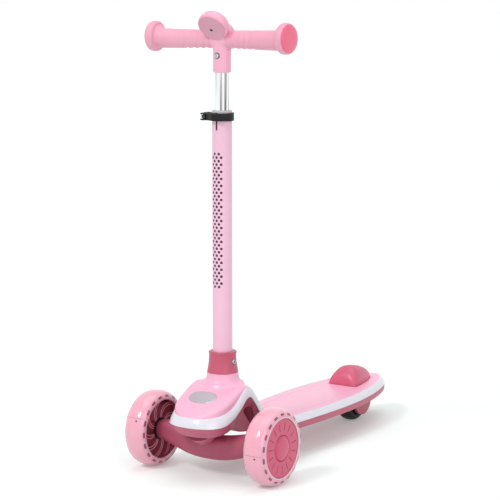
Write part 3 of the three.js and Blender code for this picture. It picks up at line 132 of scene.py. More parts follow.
def applied(piece, sharp=38):
    # The piece with its modifiers worked into its mesh
    shape = bpy.data.meshes.new_from_object(
        piece.evaluated_get(bpy.context.evaluated_depsgraph_get()))
    piece.modifiers.clear()
    old = piece.data
    piece.data = shape
    bpy.data.meshes.remove(old)
    shape.shade_smooth()
    shape.set_sharp_from_angle(angle=math.radians(sharp))
    return piece


def cut(piece, cutters, operation="DIFFERENCE", sharp=38, material=None):
    # Boolean with solids made from sheets; the cut faces may take a material of their own
    if material:
        piece.data.materials.append(None)
    for number, sheets in enumerate(cutters):
        tool = objectOf(f"{piece.name}_tool{number}", sheets)
        if material:
            tool.data.materials.append(material)
        step = piece.modifiers.new("cut", "BOOLEAN")
        step.operation = operation
        step.solver = "EXACT"
        step.object = tool
        if material:
            step.material_mode = "TRANSFER"
        bpy.context.view_layer.update()
        applied(piece, sharp)
        bpy.data.objects.remove(tool)
    return piece


def settle(piece, body, material, replaces=()):
    # Gives a piece its finish, the body it moves with, and the nodes that it stands for
    if material:
        piece.data.materials.clear()
        piece.data.materials.append(material)
    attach(piece, body)
    if replaces:
        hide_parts(*replaces)
    return piece


def lerp(a, b, share):
    return a + (b - a) * share


def eased(share):
    # 0 to 1 with a level start and end
    return share ** 2 * (3 - 2 * share)


def unit(vectors):
    return vectors / np.linalg.norm(vectors, axis=-1, keepdims=True)


def circleOf(count):
    # Cosines and sines of even steps once round
    turn = np.arange(count) / count * 2 * math.pi
    return np.cos(turn), np.sin(turn)


def superCircle(count, power):
    # A superellipse of unit size: the circle's cosine and sine, each raised to 2 over the power
    c, s = circleOf(count)
    return np.sign(c) * np.abs(c) ** (2 / power), np.sign(s) * np.abs(s) ** (2 / power)


def lathe(profile, sides=96):
    # Each (radius, height) of the profile is carried once round Z
    profile = np.asarray(profile, float)
    c, s = circleOf(sides)
    radius, height = profile[:, 0], profile[:, 1]
    return np.stack([np.outer(c, radius), np.outer(s, radius),
                     np.broadcast_to(height, (sides, len(height)))], -1)


def solidLathe(profile, sides=96, closed=False):
    return sheet(lathe(profile, sides), rows=True, columns=closed)


def rod(radius, low, high, sides):
    # A round rod along Z with flat ends
    return solidLathe([[0, low], [radius, low], [radius, high], [0, high]], sides)


def beadRing(radius, height, thick, sides):
    # A ring of round section
    section = np.stack(circleOf(12), -1) * thick + [radius, height]
    return solidLathe(section, sides, closed=True)


def prism(outlinePoints, low, high):
    # A closed outline carried straight up, its ends closed to their middles
    outlinePoints = np.asarray(outlinePoints, float)
    return withEnds(np.stack([np.insert(outlinePoints, 2, z, axis=1) for z in (low, high)]))


def box(lowCorner, highCorner):
    (x0, y0, z0), (x1, y1, z1) = lowCorner, highCorner
    return prism([[x0, y0], [x1, y0], [x1, y1], [x0, y1]], z0, z1)


def toSide(points, side):
    # Z turned to point along X, to the left or the right wheel
    return np.stack([points[..., 2] * side, points[..., 1], -points[..., 0] * side], -1)


def sideways(side, place):
    # The change that turns a shape to its side and takes it to its place
    def turned(points):
        return toSide(points, side) + place
    return turned


def tilted(points, degrees):
    # Turned about X
    c, s = math.cos(math.radians(degrees)), math.sin(math.radians(degrees))
    x, y, z = points[..., 0], points[..., 1], points[..., 2]
    return np.stack([x, y * c - z * s, y * s + z * c], -1)


def softened(profile, radius, steps=5, closed=False):
    # Every corner becomes a quadratic Bezier that starts and ends 'radius' away from it
    profile = np.asarray(profile, float)
    count = profile.shape[-2]
    radius = np.broadcast_to(np.asarray(radius, float), (count,))
    most = 0.46  # of the way to the next corner

    def stepTowards(other):
        away = other - profile
        length = np.maximum(np.linalg.norm(away, axis=-1, keepdims=True), 1e-9)
        return profile + away * np.minimum(most, radius[:, None] / length)
    start, end = stepTowards(np.roll(profile, 1, -2)), stepTowards(np.roll(profile, -1, -2))
    t = np.linspace(0, 1, steps)[:, None]
    curve = ((1 - t) ** 2 * start[..., None, :] + 2 * t * (1 - t) * profile[..., None, :]
             + t ** 2 * end[..., None, :])
    if not closed:
        curve[..., 0, :, :] = profile[..., :1, :]
        curve[..., -1, :, :] = profile[..., -1:, :]
    return curve.reshape(*profile.shape[:-2], count * steps, profile.shape[-1])


def tangentsOf(full, step):
    # At each inner point, the slopes of its two sides, weighted by the other side's step
    slope = np.diff(full, axis=0) / step
    return (slope[:-1] * step[1:] + slope[1:] * step[:-1]) / (step[1:] + step[:-1])


def hermite(points, tangent, place, count):
    # Cubic Hermite curve through points at their places along it, in even steps
    spot = np.linspace(place[0], place[-1], count)
    i = np.clip(np.searchsorted(place, spot, side="right") - 1, 0, len(points) - 2)
    span = (place[i + 1] - place[i])[:, None]
    t = (spot - place[i])[:, None] / span
    return ((2 * t ** 3 - 3 * t ** 2 + 1) * points[i] + (t ** 3 - 2 * t ** 2 + t) * span * tangent[i]
            + (3 * t ** 2 - 2 * t ** 3) * points[i + 1] + (t ** 3 - t ** 2) * span * tangent[i + 1])


def smoothRows(knots, count, flips):
    # Smooth curve through the knots by chord length; each end goes on as its own mirror image
    full = np.vstack([knots[1] * flips, knots, knots[-2] * flips])
    chord = np.r_[0, np.cumsum(np.linalg.norm(np.diff(full[:, :3], axis=0), axis=1))]
    return hermite(knots, tangentsOf(full, np.diff(chord)[:, None]), chord[1:-1], count)


def alongCurve(points, count):
    # Smooth open curve through a few points; each end goes on straight
    points = np.asarray(points, float)
    full = np.vstack([2 * points[0] - points[1], points, 2 * points[-1] - points[-2]])
    step = np.linalg.norm(np.diff(full, axis=0), axis=1)[:, None]
    return hermite(points, tangentsOf(full, step), np.cumsum(np.r_[0, step[1:-1, 0]]), count)


def acrossOf(line):
    # Level direction square to a line in plan, to its left
    ahead = np.gradient(line, axis=0)
    return unit(np.stack([-ahead[:, 1], ahead[:, 0]], -1))


def swept(line, section, width=1):
    # A section, (across, height), carried along a level line and square to it, its ends closed
    xy = line[:, None] + acrossOf(line)[:, None] * section[None, :, :1] * width
    return withEnds(np.concatenate([xy, np.broadcast_to(section[:, 1], xy.shape[:2])[..., None]], -1))


# Materials

def linear(hexColour):
    # sRGB hex to the linear colour that the shaders take
    value = np.array([int(hexColour[i:i + 2], 16) for i in (1, 3, 5)]) / 255
    value = np.where(value <= 0.04045, value / 12.92, ((value + 0.055) / 1.055) ** 2.4)
    return (*value.tolist(), 1.0)


def addNode(tree, kind, settings=None, links=None):
    # A setting is a property of the node where it has one of that name, or else a socket's value
    node = tree.nodes.new(kind)
    for key, value in (settings or {}).items():
        if isinstance(key, str) and hasattr(node, key):
            setattr(node, key, value)
        else:
            node.inputs[key].default_value = value
    for key, source in (links or {}).items():
        tree.links.new(source, node.inputs[key])
    return node


# What a finish has unless it says otherwise: cloud and grain are sizes in mm
plain = {"cloud": 60, "stretch": (1, 1, 1), "start": 0.3, "end": 0.7, "grain": 0.7, "rough": 0.4,
         "uneven": 0.04, "relief": 0.25, "sockets": {}}


def finishOf(name, **changes):
    # One surface: two close tones in soft clouds, uneven gloss, and a fine grain of a real size in mm
    look = {**plain, **changes}
    material = bpy.data.materials.new(name)
    material.use_nodes = True
    tree = material.node_tree
    tree.nodes.clear()
    spot = addNode(tree, "ShaderNodeTexCoord").outputs["Object"]
    stretched = addNode(tree, "ShaderNodeVectorMath", {"operation": "MULTIPLY", 1: look["stretch"]},
                        {0: spot})
    clouds = addNode(tree, "ShaderNodeTexNoise", {"Scale": 1 / (look["cloud"] * mm), "Detail": 3.0},
                     {"Vector": stretched.outputs[0]})
    spread = addNode(tree, "ShaderNodeMapRange",
                     {"From Min": look["start"], "From Max": look["end"]},
                     {"Value": clouds.outputs["Fac"]})
    tone = addNode(tree, "ShaderNodeMix",
                   {"data_type": "RGBA", 6: linear(look["colour"]), 7: linear(look["shade"])},
                   {"Factor": spread.outputs[0]})
    grain = addNode(tree, "ShaderNodeTexNoise", {"Scale": 1 / (look["grain"] * mm), "Detail": 4.0},
                    {"Vector": spot})
    gloss = addNode(tree, "ShaderNodeMapRange",
                    {"To Min": look["rough"] - look["uneven"], "To Max": look["rough"] + look["uneven"]},
                    {"Value": grain.outputs["Fac"]})
    relief = addNode(tree, "ShaderNodeBump",
                     {"Strength": look["relief"], "Distance": look["grain"] * mm / 6},
                     {"Height": grain.outputs["Fac"]})
    shader = addNode(tree, "ShaderNodeBsdfPrincipled", look["sockets"],
                     {"Base Color": tone.outputs[2], "Roughness": gloss.outputs[0],
                      "Normal": relief.outputs[0]})
    addNode(tree, "ShaderNodeOutputMaterial", {}, {"Surface": shader.outputs[0]})
    return material


# Injection-moulded gloss ABS: an even pale pink with a clear sheen and a faint polish haze
glossAbs = finishOf(
    "glossMouldedAbs", colour="#fcb6d2", shade="#fcbbd6", rough=0.35, relief=0.08,
    sockets={"IOR": 1.52, "Coat Weight": 0.12, "Coat Roughness": 0.2})
# White polypropylene with a lilac cast, moulded bright, so it shows long soft highlights
trimWhite = finishOf(
    "brightWhitePolypropylene", colour="#e9e4f0", shade="#e4e3ea", rough=0.2, relief=0.04,
    sockets={"IOR": 1.5, "Coat Weight": 0.5, "Coat Roughness": 0.08})
# Satin rose polypropylene of the underside, spark-eroded, so highlights are broad and dull
rosePolypropylene = finishOf(
    "sparkedRosePolypropylene", colour="#c8667e", shade="#c15f77", rough=0.42, relief=0.3, grain=0.9,
    sockets={"IOR": 1.49})
# Glass-filled nylon, rose: the collar, a little glossier than the underside
roseNylon = finishOf(
    "mouldedRoseNylon", colour="#cf5c78", shade="#c6546f", rough=0.38, relief=0.22,
    sockets={"IOR": 1.53})
# The same nylon in the beam, in a darker rose
beamNylon = finishOf(
    "mouldedDeepRoseNylon", colour="#ba5470", shade="#b04c67", rough=0.45, relief=0.3, grain=0.9,
    sockets={"IOR": 1.53})
# Powder-coated steel: a fine orange peel under a satin film
powderPink = finishOf(
    "powderCoatedSteel", colour="#fac7de", shade="#f8c3db", rough=0.36, relief=0.18, grain=1.6,
    sockets={"IOR": 1.5, "Coat Weight": 0.2, "Coat Roughness": 0.2})
# Thermoplastic rubber of the grips: matt, with a soft bloom at grazing angles
gripRubber = finishOf(
    "mouldedGripRubber", colour="#f6aec5", shade="#f2a8bf", rough=0.55, relief=0.3, grain=0.8,
    sockets={"IOR": 1.5, "Sheen Weight": 0.15, "Sheen Roughness": 0.5})
# Satin polypropylene of the bar's middle and its pod
pinkMoulding = finishOf(
    "satinPinkPolypropylene", colour="#fdb8d0", shade="#fab2cb", relief=0.15,
    sockets={"IOR": 1.5})
# The same moulding in a greyer rose for the pod's face: painted shade, as the face looks forward and down
podFaceShade = finishOf(
    "satinPinkPodFacePaintedShade", colour="#e3a5b9", shade="#dd9db2", rough=0.42, relief=0.15,
    sockets={"IOR": 1.5})
# Gloss coral ABS of the bar's end discs: the warmest and shiniest pink of all
coralAbs = finishOf(
    "glossCoralAbs", colour="#ff6f91", shade="#fb688a", rough=0.26, relief=0.08,
    sockets={"IOR": 1.52, "Coat Weight": 0.3, "Coat Roughness": 0.12})
# ABS of the brake, rubbed satin by shoes, so its highlight is wide
brakeAbs = finishOf(
    "satinCoralAbs", colour="#d86180", shade="#d25978", rough=0.36, relief=0.15,
    sockets={"IOR": 1.52})
# Cast clear-pink polyurethane: light goes a little way in, and the skin is wet-looking
castUrethane = finishOf(
    "castPinkUrethane", colour="#ffb7c9", shade="#fcacc1", rough=0.16, uneven=0.03, relief=0.05, cloud=30,
    sockets={"IOR": 1.5, "Subsurface Weight": 0.45, "Subsurface Scale": 0.012,
             "Subsurface Radius": (1.0, 0.45, 0.5), "Coat Weight": 0.4, "Coat Roughness": 0.06})
# A paler copy of the same casting on the thin bead at the tyre's edge: painted highlight along the lip
lipHighlight = finishOf(
    "urethaneLipPaintedHighlight", colour="#ffe4ec", shade="#ffdde7", rough=0.12, uneven=0.03, relief=0.03, cloud=20,
    sockets={"IOR": 1.5, "Coat Weight": 0.6, "Coat Roughness": 0.05})
# Tinted polycarbonate of the lamp housings: small plum windows with a mottled tone
lampRose = finishOf(
    "tintedPolycarbonate", colour="#b3546c", shade="#97405a", rough=0.3, cloud=3,
    sockets={"IOR": 1.5})
# Gloss ABS of the hub caps: a clean saturated rose with a soft clear reflection
capRose = finishOf(
    "glossRoseAbs", colour="#dc4b76", shade="#d5446e", rough=0.3, relief=0.1,
    sockets={"IOR": 1.52, "Coat Weight": 0.2, "Coat Roughness": 0.15})
# Moulded nylon of the fins inside the hub: satin, in a darker rose
finRose = finishOf(
    "mouldedRoseFinNylon", colour="#b4556c", shade="#a3495f", rough=0.42, relief=0.15,
    sockets={"IOR": 1.52})
# The fins' thin free edges, polished and in a paler pink: the pale colour is painted highlight
finEdgeHighlight = finishOf(
    "finEdgePaintedHighlight", colour="#f2a0b3", shade="#ea94a8", rough=0.3, relief=0.1,
    sockets={"IOR": 1.52, "Coat Weight": 0.3, "Coat Roughness": 0.1})
# A darker, duller rose nylon for the hub; on the cut faces of the cap's ticks and groove it is painted
# shade
darkRoseAndShade = finishOf(
    "darkRoseNylonAndPaintedShade", colour="#b04e66", shade="#9b4156", rough=0.45,
    sockets={"IOR": 1.52})
# Black polyurethane tread, rubbed dull
blackTyre = finishOf(
    "blackUrethane", colour="#171416", shade="#1e1b1c", rough=0.5, relief=0.3, grain=1.2,
    sockets={"IOR": 1.5, "Specular IOR Level": 0.3})
# Glass-filled black nylon of the clamp: near black with a dull grey shine on its edges
blackNylon = finishOf(
    "mouldedBlackNylon", colour="#0d0c0d", shade="#141213", rough=0.42,
    sockets={"IOR": 1.53, "Specular IOR Level": 0.28})
# Screen-printed plum ink: flat and dark, slightly mottled where it is thin. The same dark is painted shade
# inside the stem's slit and in the pod's hole
plumInkAndShade = finishOf(
    "printedPlumInkAndPaintedShade", colour="#33212b", shade="#4a333f", rough=0.45, cloud=2,
    sockets={"IOR": 1.5})
# Zinc-plated steel, drawn and barrelled: a dull grey mirror
zincSteel = finishOf(
    "zincPlatedSteel", colour="#b9bcc0", shade="#c4c6c9", rough=0.32, relief=0.2,
    sockets={"Metallic": 1.0})
# Black oxide on steel: a dark grey that still mirrors faintly
# The same dark grey is also painted shade in the collar bolt's socket and seat and round the sprung button
oxideSteelAndShade = finishOf(
    "blackOxideSteelAndPaintedShade", colour="#4a4a4e", shade="#3e3e42", relief=0.2,
    sockets={"Metallic": 1.0})
# Chromed tube with light and dark lengthwise streaks in its colour: painted reflections of the room round
# it
chromeReflectionStreaks = finishOf(
    "chromePaintedReflections", colour="#f6f5f8", shade="#6a666c", rough=0.14, uneven=0.03, relief=0.03, cloud=4,
    start=0.48, end=0.64, stretch=(1, 1, 0.012), sockets={"Metallic": 1.0})
# Anodised aluminium foil plate: a lilac grey with a silky half-metal shine
badgeMetal = finishOf(
    "satinAnodisedPlate", colour="#c6bcc6", shade="#b9b0ba", rough=0.34, relief=0.2, grain=0.6,
    sockets={"Metallic": 0.55})
# Undyed nylon of bushes and hidden blocks: milky and waxy
naturalNylon = finishOf(
    "naturalNylon", colour="#dcdcdf", shade="#d2d2d6", rough=0.42,
    sockets={"IOR": 1.53})
# Reground nylon of the hidden steering block: a flat warm grey
greyNylon = finishOf(
    "greyRegrindNylon", colour="#a89fa4", shade="#968d93", rough=0.5,
    sockets={"IOR": 1.53})

slotFinish = {
    "pink_shell": glossAbs, "pink_paint": powderPink, "soft_grip": gripRubber,
    "pink_moulding": pinkMoulding, "rose_nylon": roseNylon, "coral_cap": coralAbs,
    "white_trim": trimWhite, "clear_pink": castUrethane, "black_tyre": blackTyre,
    "black_nylon": blackNylon, "steel": zincSteel, "dark_steel": oxideSteelAndShade,
    "chrome_tube": chromeReflectionStreaks, "badge_silver": badgeMetal, "white_nylon": naturalNylon,
}
nodeFinish = {"rear_bracket": rosePolypropylene, "front_beam": beamNylon, "brake_fender": brakeAbs,
              "snap_button": zincSteel, "steering_bracket": greyNylon, "tee_screw": pinkMoulding,
              "rear_hub": blackNylon, "clamp_bolt": oxideSteelAndShade, "clamp_nut": oxideSteelAndShade,
              "clamp_pin": oxideSteelAndShade}
for row in frame["record"]["subparts"]:
    surface = nodes[row["node"]].data.materials
    surface.clear()
    surface.append(nodeFinish.get(row["node"], slotFinish[row["material_slot"]]))
print("materials made")


# Shell outlines, from the nose round the head and along the deck, one half
shell = {
    "headHalf": 47.5, "headReach": 63, "noseEdge": 102, "crestEdge": 138, "crestY": 25, "rampEnd": 125,
    "deckEdge": 66.3, "deckTop": 67.2, "shoulder": 143, "trimHalf": 54.5, "trimReach": 71,
    "trimNose": 88.5, "trimCrest": 123.5, "trimDeck": 57.3, "panNose": 72, "panDeck": 46.1,
    "deckFront": 57.7, "deckStart": 150, "deckHalf": 66.8, "deckWidest": 308, "tailReach": 522,
    "tailPower": 1.85, "trimInset": 10.2, "skirtInset": 1, "spread": .8, "wall": 3,
    "rows": 230, "ribs": 26, "ring": 16, "halvings": 26,
}
# Shares of each outline: of its half width, of the way along Y, and of its rise
upperNoseShares = [[0, 0, 0], [.42, .04, 0], [.78, .19, .04], [.96, .41, .17], [1, .625, .42],
                   [1, .83, .78], [.97, 1, 1]]
upperRampShares = [[.98, .13, .945], [1.01, .25, .76], [1.04, .38, .51], [1.05, .53, .26],
                   [1.03, .73, .07], [1, 1, 0]]
lowerNoseShares = [[0, 0, 0], [.4, .03, 0], [.75, .155, 0], [.935, .345, .06], [1, .55, .31],
                   [1, .77, .7], [.965, .95, .99]]
lowerRampShares = [[.945, .065, .995], [.97, .18, .8], [1.01, .3, .525], [1.035, .45, .25],
                   [1.045, .68, .07], [1.05, 1, 0]]
skirtNoseShares = [[0, .145, 1], [.31, .165, 1], [.57, .27, .97], [.7, .45, 1.02], [.7, .62, 1.1],
                   [.6, .78, 1.12], [.54, .96, .95]]
skirtRampShares = [[.54, .1, .7], [.62, .27, .6], [.8, .4, .45], [.93, .55, .28], [1, .76, .09],
                   [1.03, 1, 0]]
# Where the belly lies between the trim's edge and the skirt: share across, share down
bellyShares = [[.32, .6]] * 4 + [[.34, .6], [.55, .5], [.85, .28], [.85, .28], [.8, .35],
                                 [.55, .5]] + [[.3, .6]] * 3
# How far the crown leans ahead of its edge, in head reaches, and how high it rises
crownNoseShares = [[0, 0], [0, .1], [-.055, .29], [-.11, .51], [-.13, .71], [-.11, .9], [-.05, 1]]
crownRampShares = [[.015, .97], [.06, .8], [.09, .53], [.11, .27], [.11, .08], [.05, 0]]
crownFullness = [3.9, 3.9, 3.9, 3.8, 3.7, 3.3, 2.9, 2.6, 2.3, 2.1, 2, 2.2, 2.4]  # power of each section


def outlineKnots():
    # The rows that shape the shells. Columns: upper edge, crown's lead and height, lower edge, skirt,
    # belly shares, crown's fullness. Deck rows run straight, then round a superellipse tail
    v = shell

    def head(nose, ramp, half, reach, low, high, deckLow, deckHigh):
        nose, ramp = np.array(nose), np.array(ramp)
        front = np.stack([nose[:, 0] * half, lerp(-reach, v["crestY"], nose[:, 1]),
                          lerp(low, high, nose[:, 2])], -1)
        back = np.stack([ramp[:, 0] * half, lerp(v["crestY"], v["rampEnd"], ramp[:, 1]),
                         lerp(deckLow, deckHigh, ramp[:, 2])], -1)
        return np.vstack([front, back])
    share = np.linspace(0, 1, 5)[:, None]
    straight = np.hstack([lerp(v["deckFront"], v["deckHalf"], np.sin(share * quarter)),
                          lerp(v["deckStart"], v["deckWidest"], share)])
    turn = np.linspace(0, quarter, 25)[1:, None]
    power = 2 / v["tailPower"]
    tail = np.hstack([v["deckHalf"] * np.maximum(np.cos(turn), 0) ** power,
                      lerp(v["deckWidest"], v["tailReach"], np.sin(turn) ** power)])
    tail[-1, 0] = 0
    deck = np.vstack([straight, tail])

    def onDeck(inset, height):
        full = np.vstack([lowerHead[-1:, :2], deck, deck[-2:-1] * [-1, 1]])
        ahead = full[2:] - full[:-2]
        out = unit(np.stack([ahead[:, 1], -ahead[:, 0]], -1))
        return np.hstack([deck - out * inset, np.full((len(deck), 1), height)])
    upperHead = head(upperNoseShares, upperRampShares, v["headHalf"], v["headReach"],
                     v["noseEdge"], v["crestEdge"], v["deckEdge"], v["crestEdge"])
    lowerHead = head(lowerNoseShares, lowerRampShares, v["trimHalf"], v["trimReach"],
                     v["trimNose"], v["trimCrest"], v["trimDeck"], v["trimCrest"])
    skirtHead = head(skirtNoseShares, skirtRampShares, v["trimHalf"], v["trimReach"],
                     v["panDeck"], v["panNose"], v["panDeck"], v["panNose"])
    upper = np.vstack([upperHead, onDeck(v["trimInset"], v["deckEdge"])])
    lower = np.vstack([lowerHead, onDeck(0, v["trimDeck"])])
    skirt = np.vstack([skirtHead, onDeck(v["skirtInset"], v["panDeck"])])
    nose, ramp = np.array(crownNoseShares), np.array(crownRampShares)
    lead = np.r_[nose[:, 0], ramp[:, 0], np.zeros(len(deck))] * v["headReach"]
    height = np.r_[lerp(v["noseEdge"], v["shoulder"], nose[:, 1]),
                   lerp(v["deckTop"], v["shoulder"], ramp[:, 1]), np.full(len(deck), v["deckTop"])]
    height[-1] = v["deckEdge"]
    belly = np.vstack([bellyShares, np.tile(bellyShares[-1], (len(deck), 1))])
    fullness = np.r_[crownFullness, np.full(len(deck), crownFullness[-1])]
    return np.hstack([upper, lead[:, None], height[:, None], lower, skirt, belly, fullness[:, None]])


flips = np.array([-1, 1, 1, 1, 1, -1, 1, 1, -1, 1, 1, 1, 1, 1])  # columns that change sign on the far side
outlines = smoothRows(outlineKnots(), shell["rows"], flips)
outlines[[0, -1]] *= (flips + 1) / 2  # both ends lie exactly on the middle plane
upper, lead, height = outlines[:, :3], outlines[:, 3], outlines[:, 4]
lower, skirt, fullness = outlines[:, 5:8], outlines[:, 8:11], outlines[:, 13]
belly = lerp(lower, skirt, outlines[:, [11, 11, 12]])


def outwardOf(line):
    # Level direction square to the outline, away from the middle
    full = np.vstack([line[1] * [-1, 1, 1], line, line[-2] * [-1, 1, 1]])
    ahead = full[2:] - full[:-2]
    return unit(np.stack([ahead[:, 1], -ahead[:, 0], np.zeros(len(line))], -1))


outward = outwardOf(lower)


def crownHeight(x, y):
    # Height of the crown over a place: each row is an arch, a superellipse from its edge to the middle,
    # and bisection finds the row whose arch passes over the place
    x, y = np.abs(np.asarray(x, float)), np.asarray(y, float)
    count = np.arange(shell["rows"])
    low, high = np.zeros(x.shape), np.full(x.shape, shell["rows"] - 1.0)

    def arch(spot):
        power = np.interp(spot, count, fullness)
        across = np.clip(x / np.maximum(np.interp(spot, count, upper[:, 0]), 1e-6), 0, 1)
        return np.maximum(1 - across ** power, 0) ** (1 / power)
    for _ in range(shell["halvings"]):
        spot = (low + high) / 2
        past = np.interp(spot, count, upper[:, 1]) + np.interp(spot, count, lead) * arch(spot) > y
        high, low = np.where(past, spot, high), np.where(past, low, spot)
    return lerp(np.interp(low, count, upper[:, 2]), np.interp(low, count, height), arch(low))


# Top shell: ribs run from its edge to a ring round the neck, and behind it to the middle line
neck = {"stemY": 29.5, "radius": 24.6, "top": 157.6, "rise": 14.9, "spread": 7, "ringRadius": 44,
        "bore": 16.4, "blend": 4, "lastRow": 84, "fall": 0.6, "edge": 0.6, "settle": 70}


def stemPlace(points):
    # From round Z to round the stem
    return points + [0, neck["stemY"], 0]


def neckHeight(radius):
    # A quarter ellipse up to the collar, and past its foot a parabola that falls away
    away = np.clip((radius - neck["radius"]) / neck["spread"], 0, 1)
    past = np.maximum(radius - neck["radius"] - neck["spread"], 0)
    return neck["top"] - neck["rise"] * np.sqrt(1 - (1 - away) ** 2) - neck["fall"] * past ** 2


def shellHeight(x, y):
    # Crown and neck joined by a smooth maximum: half their sum and the root of their gap and blend squared
    a = crownHeight(x, y)
    radius = np.hypot(x, y - neck["stemY"])
    b = np.maximum(neckHeight(radius), 0)
    blend = neck["blend"] * eased(np.clip((radius - neck["radius"]) / neck["spread"], 0, 1))
    return (a + b + np.sqrt((a - b) ** 2 + blend ** 2)) / 2


def topShell():
    # In plan each rib goes from the edge to the ring or the middle line by one less a power of a cosine,
    # and its height is the shell's there; the underside is the crown less the wall
    last = int(np.searchsorted(upper[:, 1], neck["lastRow"]))
    turn = np.linspace(-quarter, quarter, last + 1)
    ringLine = np.stack([np.cos(turn) * neck["ringRadius"],
                         neck["stemY"] + np.sin(turn) * neck["ringRadius"]], -1)
    ringLine[[0, -1], 0] = 0
    behind = upper[last:, 1] + lead[last:]
    share = np.clip((upper[last:, 1] - upper[last, 1]) / neck["settle"], 0, 1)
    behind = behind + (ringLine[-1, 1] - behind[0]) * (1 - share) ** 2 * (1 + 2 * share)
    inner = np.vstack([ringLine, np.stack([0 * behind[1:], behind[1:]], -1)])
    t = np.linspace(0, quarter, shell["ribs"])
    w = (1 - np.maximum(np.cos(t), 0) ** shell["spread"])[None, :, None]
    w[0, -1] = 1
    edge = upper[:, :2]
    under = edge - outward[:, :2] * shell["wall"]
    under[[0, -1], 0] = 0
    pastRing = np.where(np.arange(len(inner)) > last, 1, 0)[:, None]
    innerLow = inner - pastRing * outward[:, :2] * shell["wall"] * [0, 1]
    topXy = edge[:, None] + (inner - edge)[:, None] * w
    lowXy = under[:, None] + (innerLow - under)[:, None] * w
    topZ = shellHeight(topXy[..., 0], topXy[..., 1])
    topZ[:, 0] = upper[:, 2]
    lowZ = crownHeight(lowXy[..., 0], lowXy[..., 1]) - shell["wall"]
    top = np.concatenate([topXy, topZ[..., None]], -1)
    low = np.concatenate([lowXy, lowZ[..., None]], -1)[:, ::-1]
    u = np.linspace(quarter, 0, shell["ring"])
    radius = neck["radius"] + (neck["ringRadius"] - neck["radius"]) * (1 - np.cos(u))
    aroundX, aroundY = np.cos(turn), np.sin(turn)
    aroundX[[0, -1]] = 0

    def ringAt(radii, heights=None):
        radii = np.asarray(radii, float)
        x = aroundX[:, None] * radii
        y = neck["stemY"] + aroundY[:, None] * radii
        z = shellHeight(x, y) if heights is None else np.broadcast_to(heights, x.shape)
        return np.stack([x, y, z], -1)
    climb = ringAt(radius)
    brim = ringAt([neck["radius"] - neck["edge"], neck["bore"]], neck["top"] + neck["edge"] / 2)
    bore = ringAt([neck["bore"], neck["ringRadius"]])
    bore[..., 2] = crownHeight(bore[..., 0], bore[..., 1]) - shell["wall"]
    head = np.concatenate([top[:last + 1], climb[:, 1:], brim, bore, low[:last + 1, 1:]], 1)
    deck = np.concatenate([top[last:], low[last:]], 1)
    half = [sheet(head, columns=True), sheet(deck, columns=True)]
    return objectOf("topShellSkin", half + [mirroredSheet(one) for one in half])


dome = {"front": 394, "back": 487.3, "half": 28, "top": 98, "wall": 2, "skirt": 4, "gap": 1.2,
        "crestShare": .26, "risePower": .47, "fallPower": 1.6, "planPower": 1.2, "tipPower": .54,
        "rows": 60, "around": 44, "section": 2.3, "corner": 7, "openingRows": 40,
        "cornerShare": .075, "lugX": 21.5, "lugHalf": 1.4, "lugFront": 381.8,
        "lugLow": 51.8, "lugHigh": 62.4, "pinY": 386, "pinZ": 56, "pinHole": 2.9, "postHalfX": 10,
        "postHalfY": 6.5, "postY": 431, "postLow": 85.15, "postHigh": 92.3, "bite": .05, "overlap": 1,
        "pinReach": 30, "openUnder": 4, "openOver": 10}


def domeShape(share):
    # Shares of the half width and of the height along the dome: plan and rise are both superellipses
    half = np.maximum(1 - share ** dome["planPower"], 0) ** dome["tipPower"]
    near = np.maximum(1 - share / dome["cornerShare"], 0)
    half = half - dome["corner"] / dome["half"] * (1 - np.sqrt(1 - near ** 2))
    rise = np.sin(np.minimum(share / dome["crestShare"], 1) * quarter) ** dome["risePower"]
    past = np.clip((share - dome["crestShare"]) / (1 - dome["crestShare"]), 0, 1)
    fall = np.maximum(1 - past ** dome["fallPower"], 0) ** (1 / dome["fallPower"])
    return half, np.where(share < dome["crestShare"], rise, fall)


def domeOpening():
    # The dome's plan, wider by its gap, straight through the deck
    share = (1 - np.cos(np.linspace(0, math.pi, dome["openingRows"]))) / 2
    half = domeShape(share)[0] * (dome["half"] + dome["gap"])
    y = lerp(dome["front"] - dome["gap"], dome["back"] + dome["gap"], share)
    right = np.stack([half, y], -1)
    left = (right * [-1, 1])[::-1][1:]
    return [prism(np.vstack([right, left]), shell["panDeck"] + dome["openUnder"],
                  shell["deckTop"] + dome["openOver"])]


mat = {"front": 138, "back": 384, "inset": 15, "power": 7, "groove": .8, "above": .3, "points": 160}


def matGroove():
    # A round tool carried along a rounded rectangle, half sunk in the deck
    across, along = superCircle(mat["points"], mat["power"])
    y = lerp(mat["front"], mat["back"], (along + 1) / 2)
    x = across * (np.interp(y, upper[:, 1], upper[:, 0]) - mat["inset"])
    line = np.stack([x, y, crownHeight(x, y) + mat["above"]], -1)
    ahead = np.roll(line, -1, 0) - np.roll(line, 1, 0)
    side = unit(np.stack([-ahead[:, 1], ahead[:, 0], 0 * ahead[:, 0]], -1))
    c, s = circleOf(10)
    ring = (line[:, None] + side[:, None] * (c * mat["groove"])[None, :, None]
            + np.array([0, 0, 1]) * (s * mat["groove"])[None, :, None])
    return [sheet(ring, rows=True, columns=True)]


topSkin = cut(topShell(), [domeOpening(), matGroove()])
settle(topSkin, "deck", glossAbs, ["top_shell"])
print("top shell", len(topSkin.data.polygons), "faces")


# Trim band: one loop round head, arches and deck, with a soft ridge along its middle
trim = {"bulge": 1.5, "wall": 2.4, "seat": .8, "ridge": 4.5, "edge": .9, "hidden": .3, "rise": 1.6,
        "proud": .5}


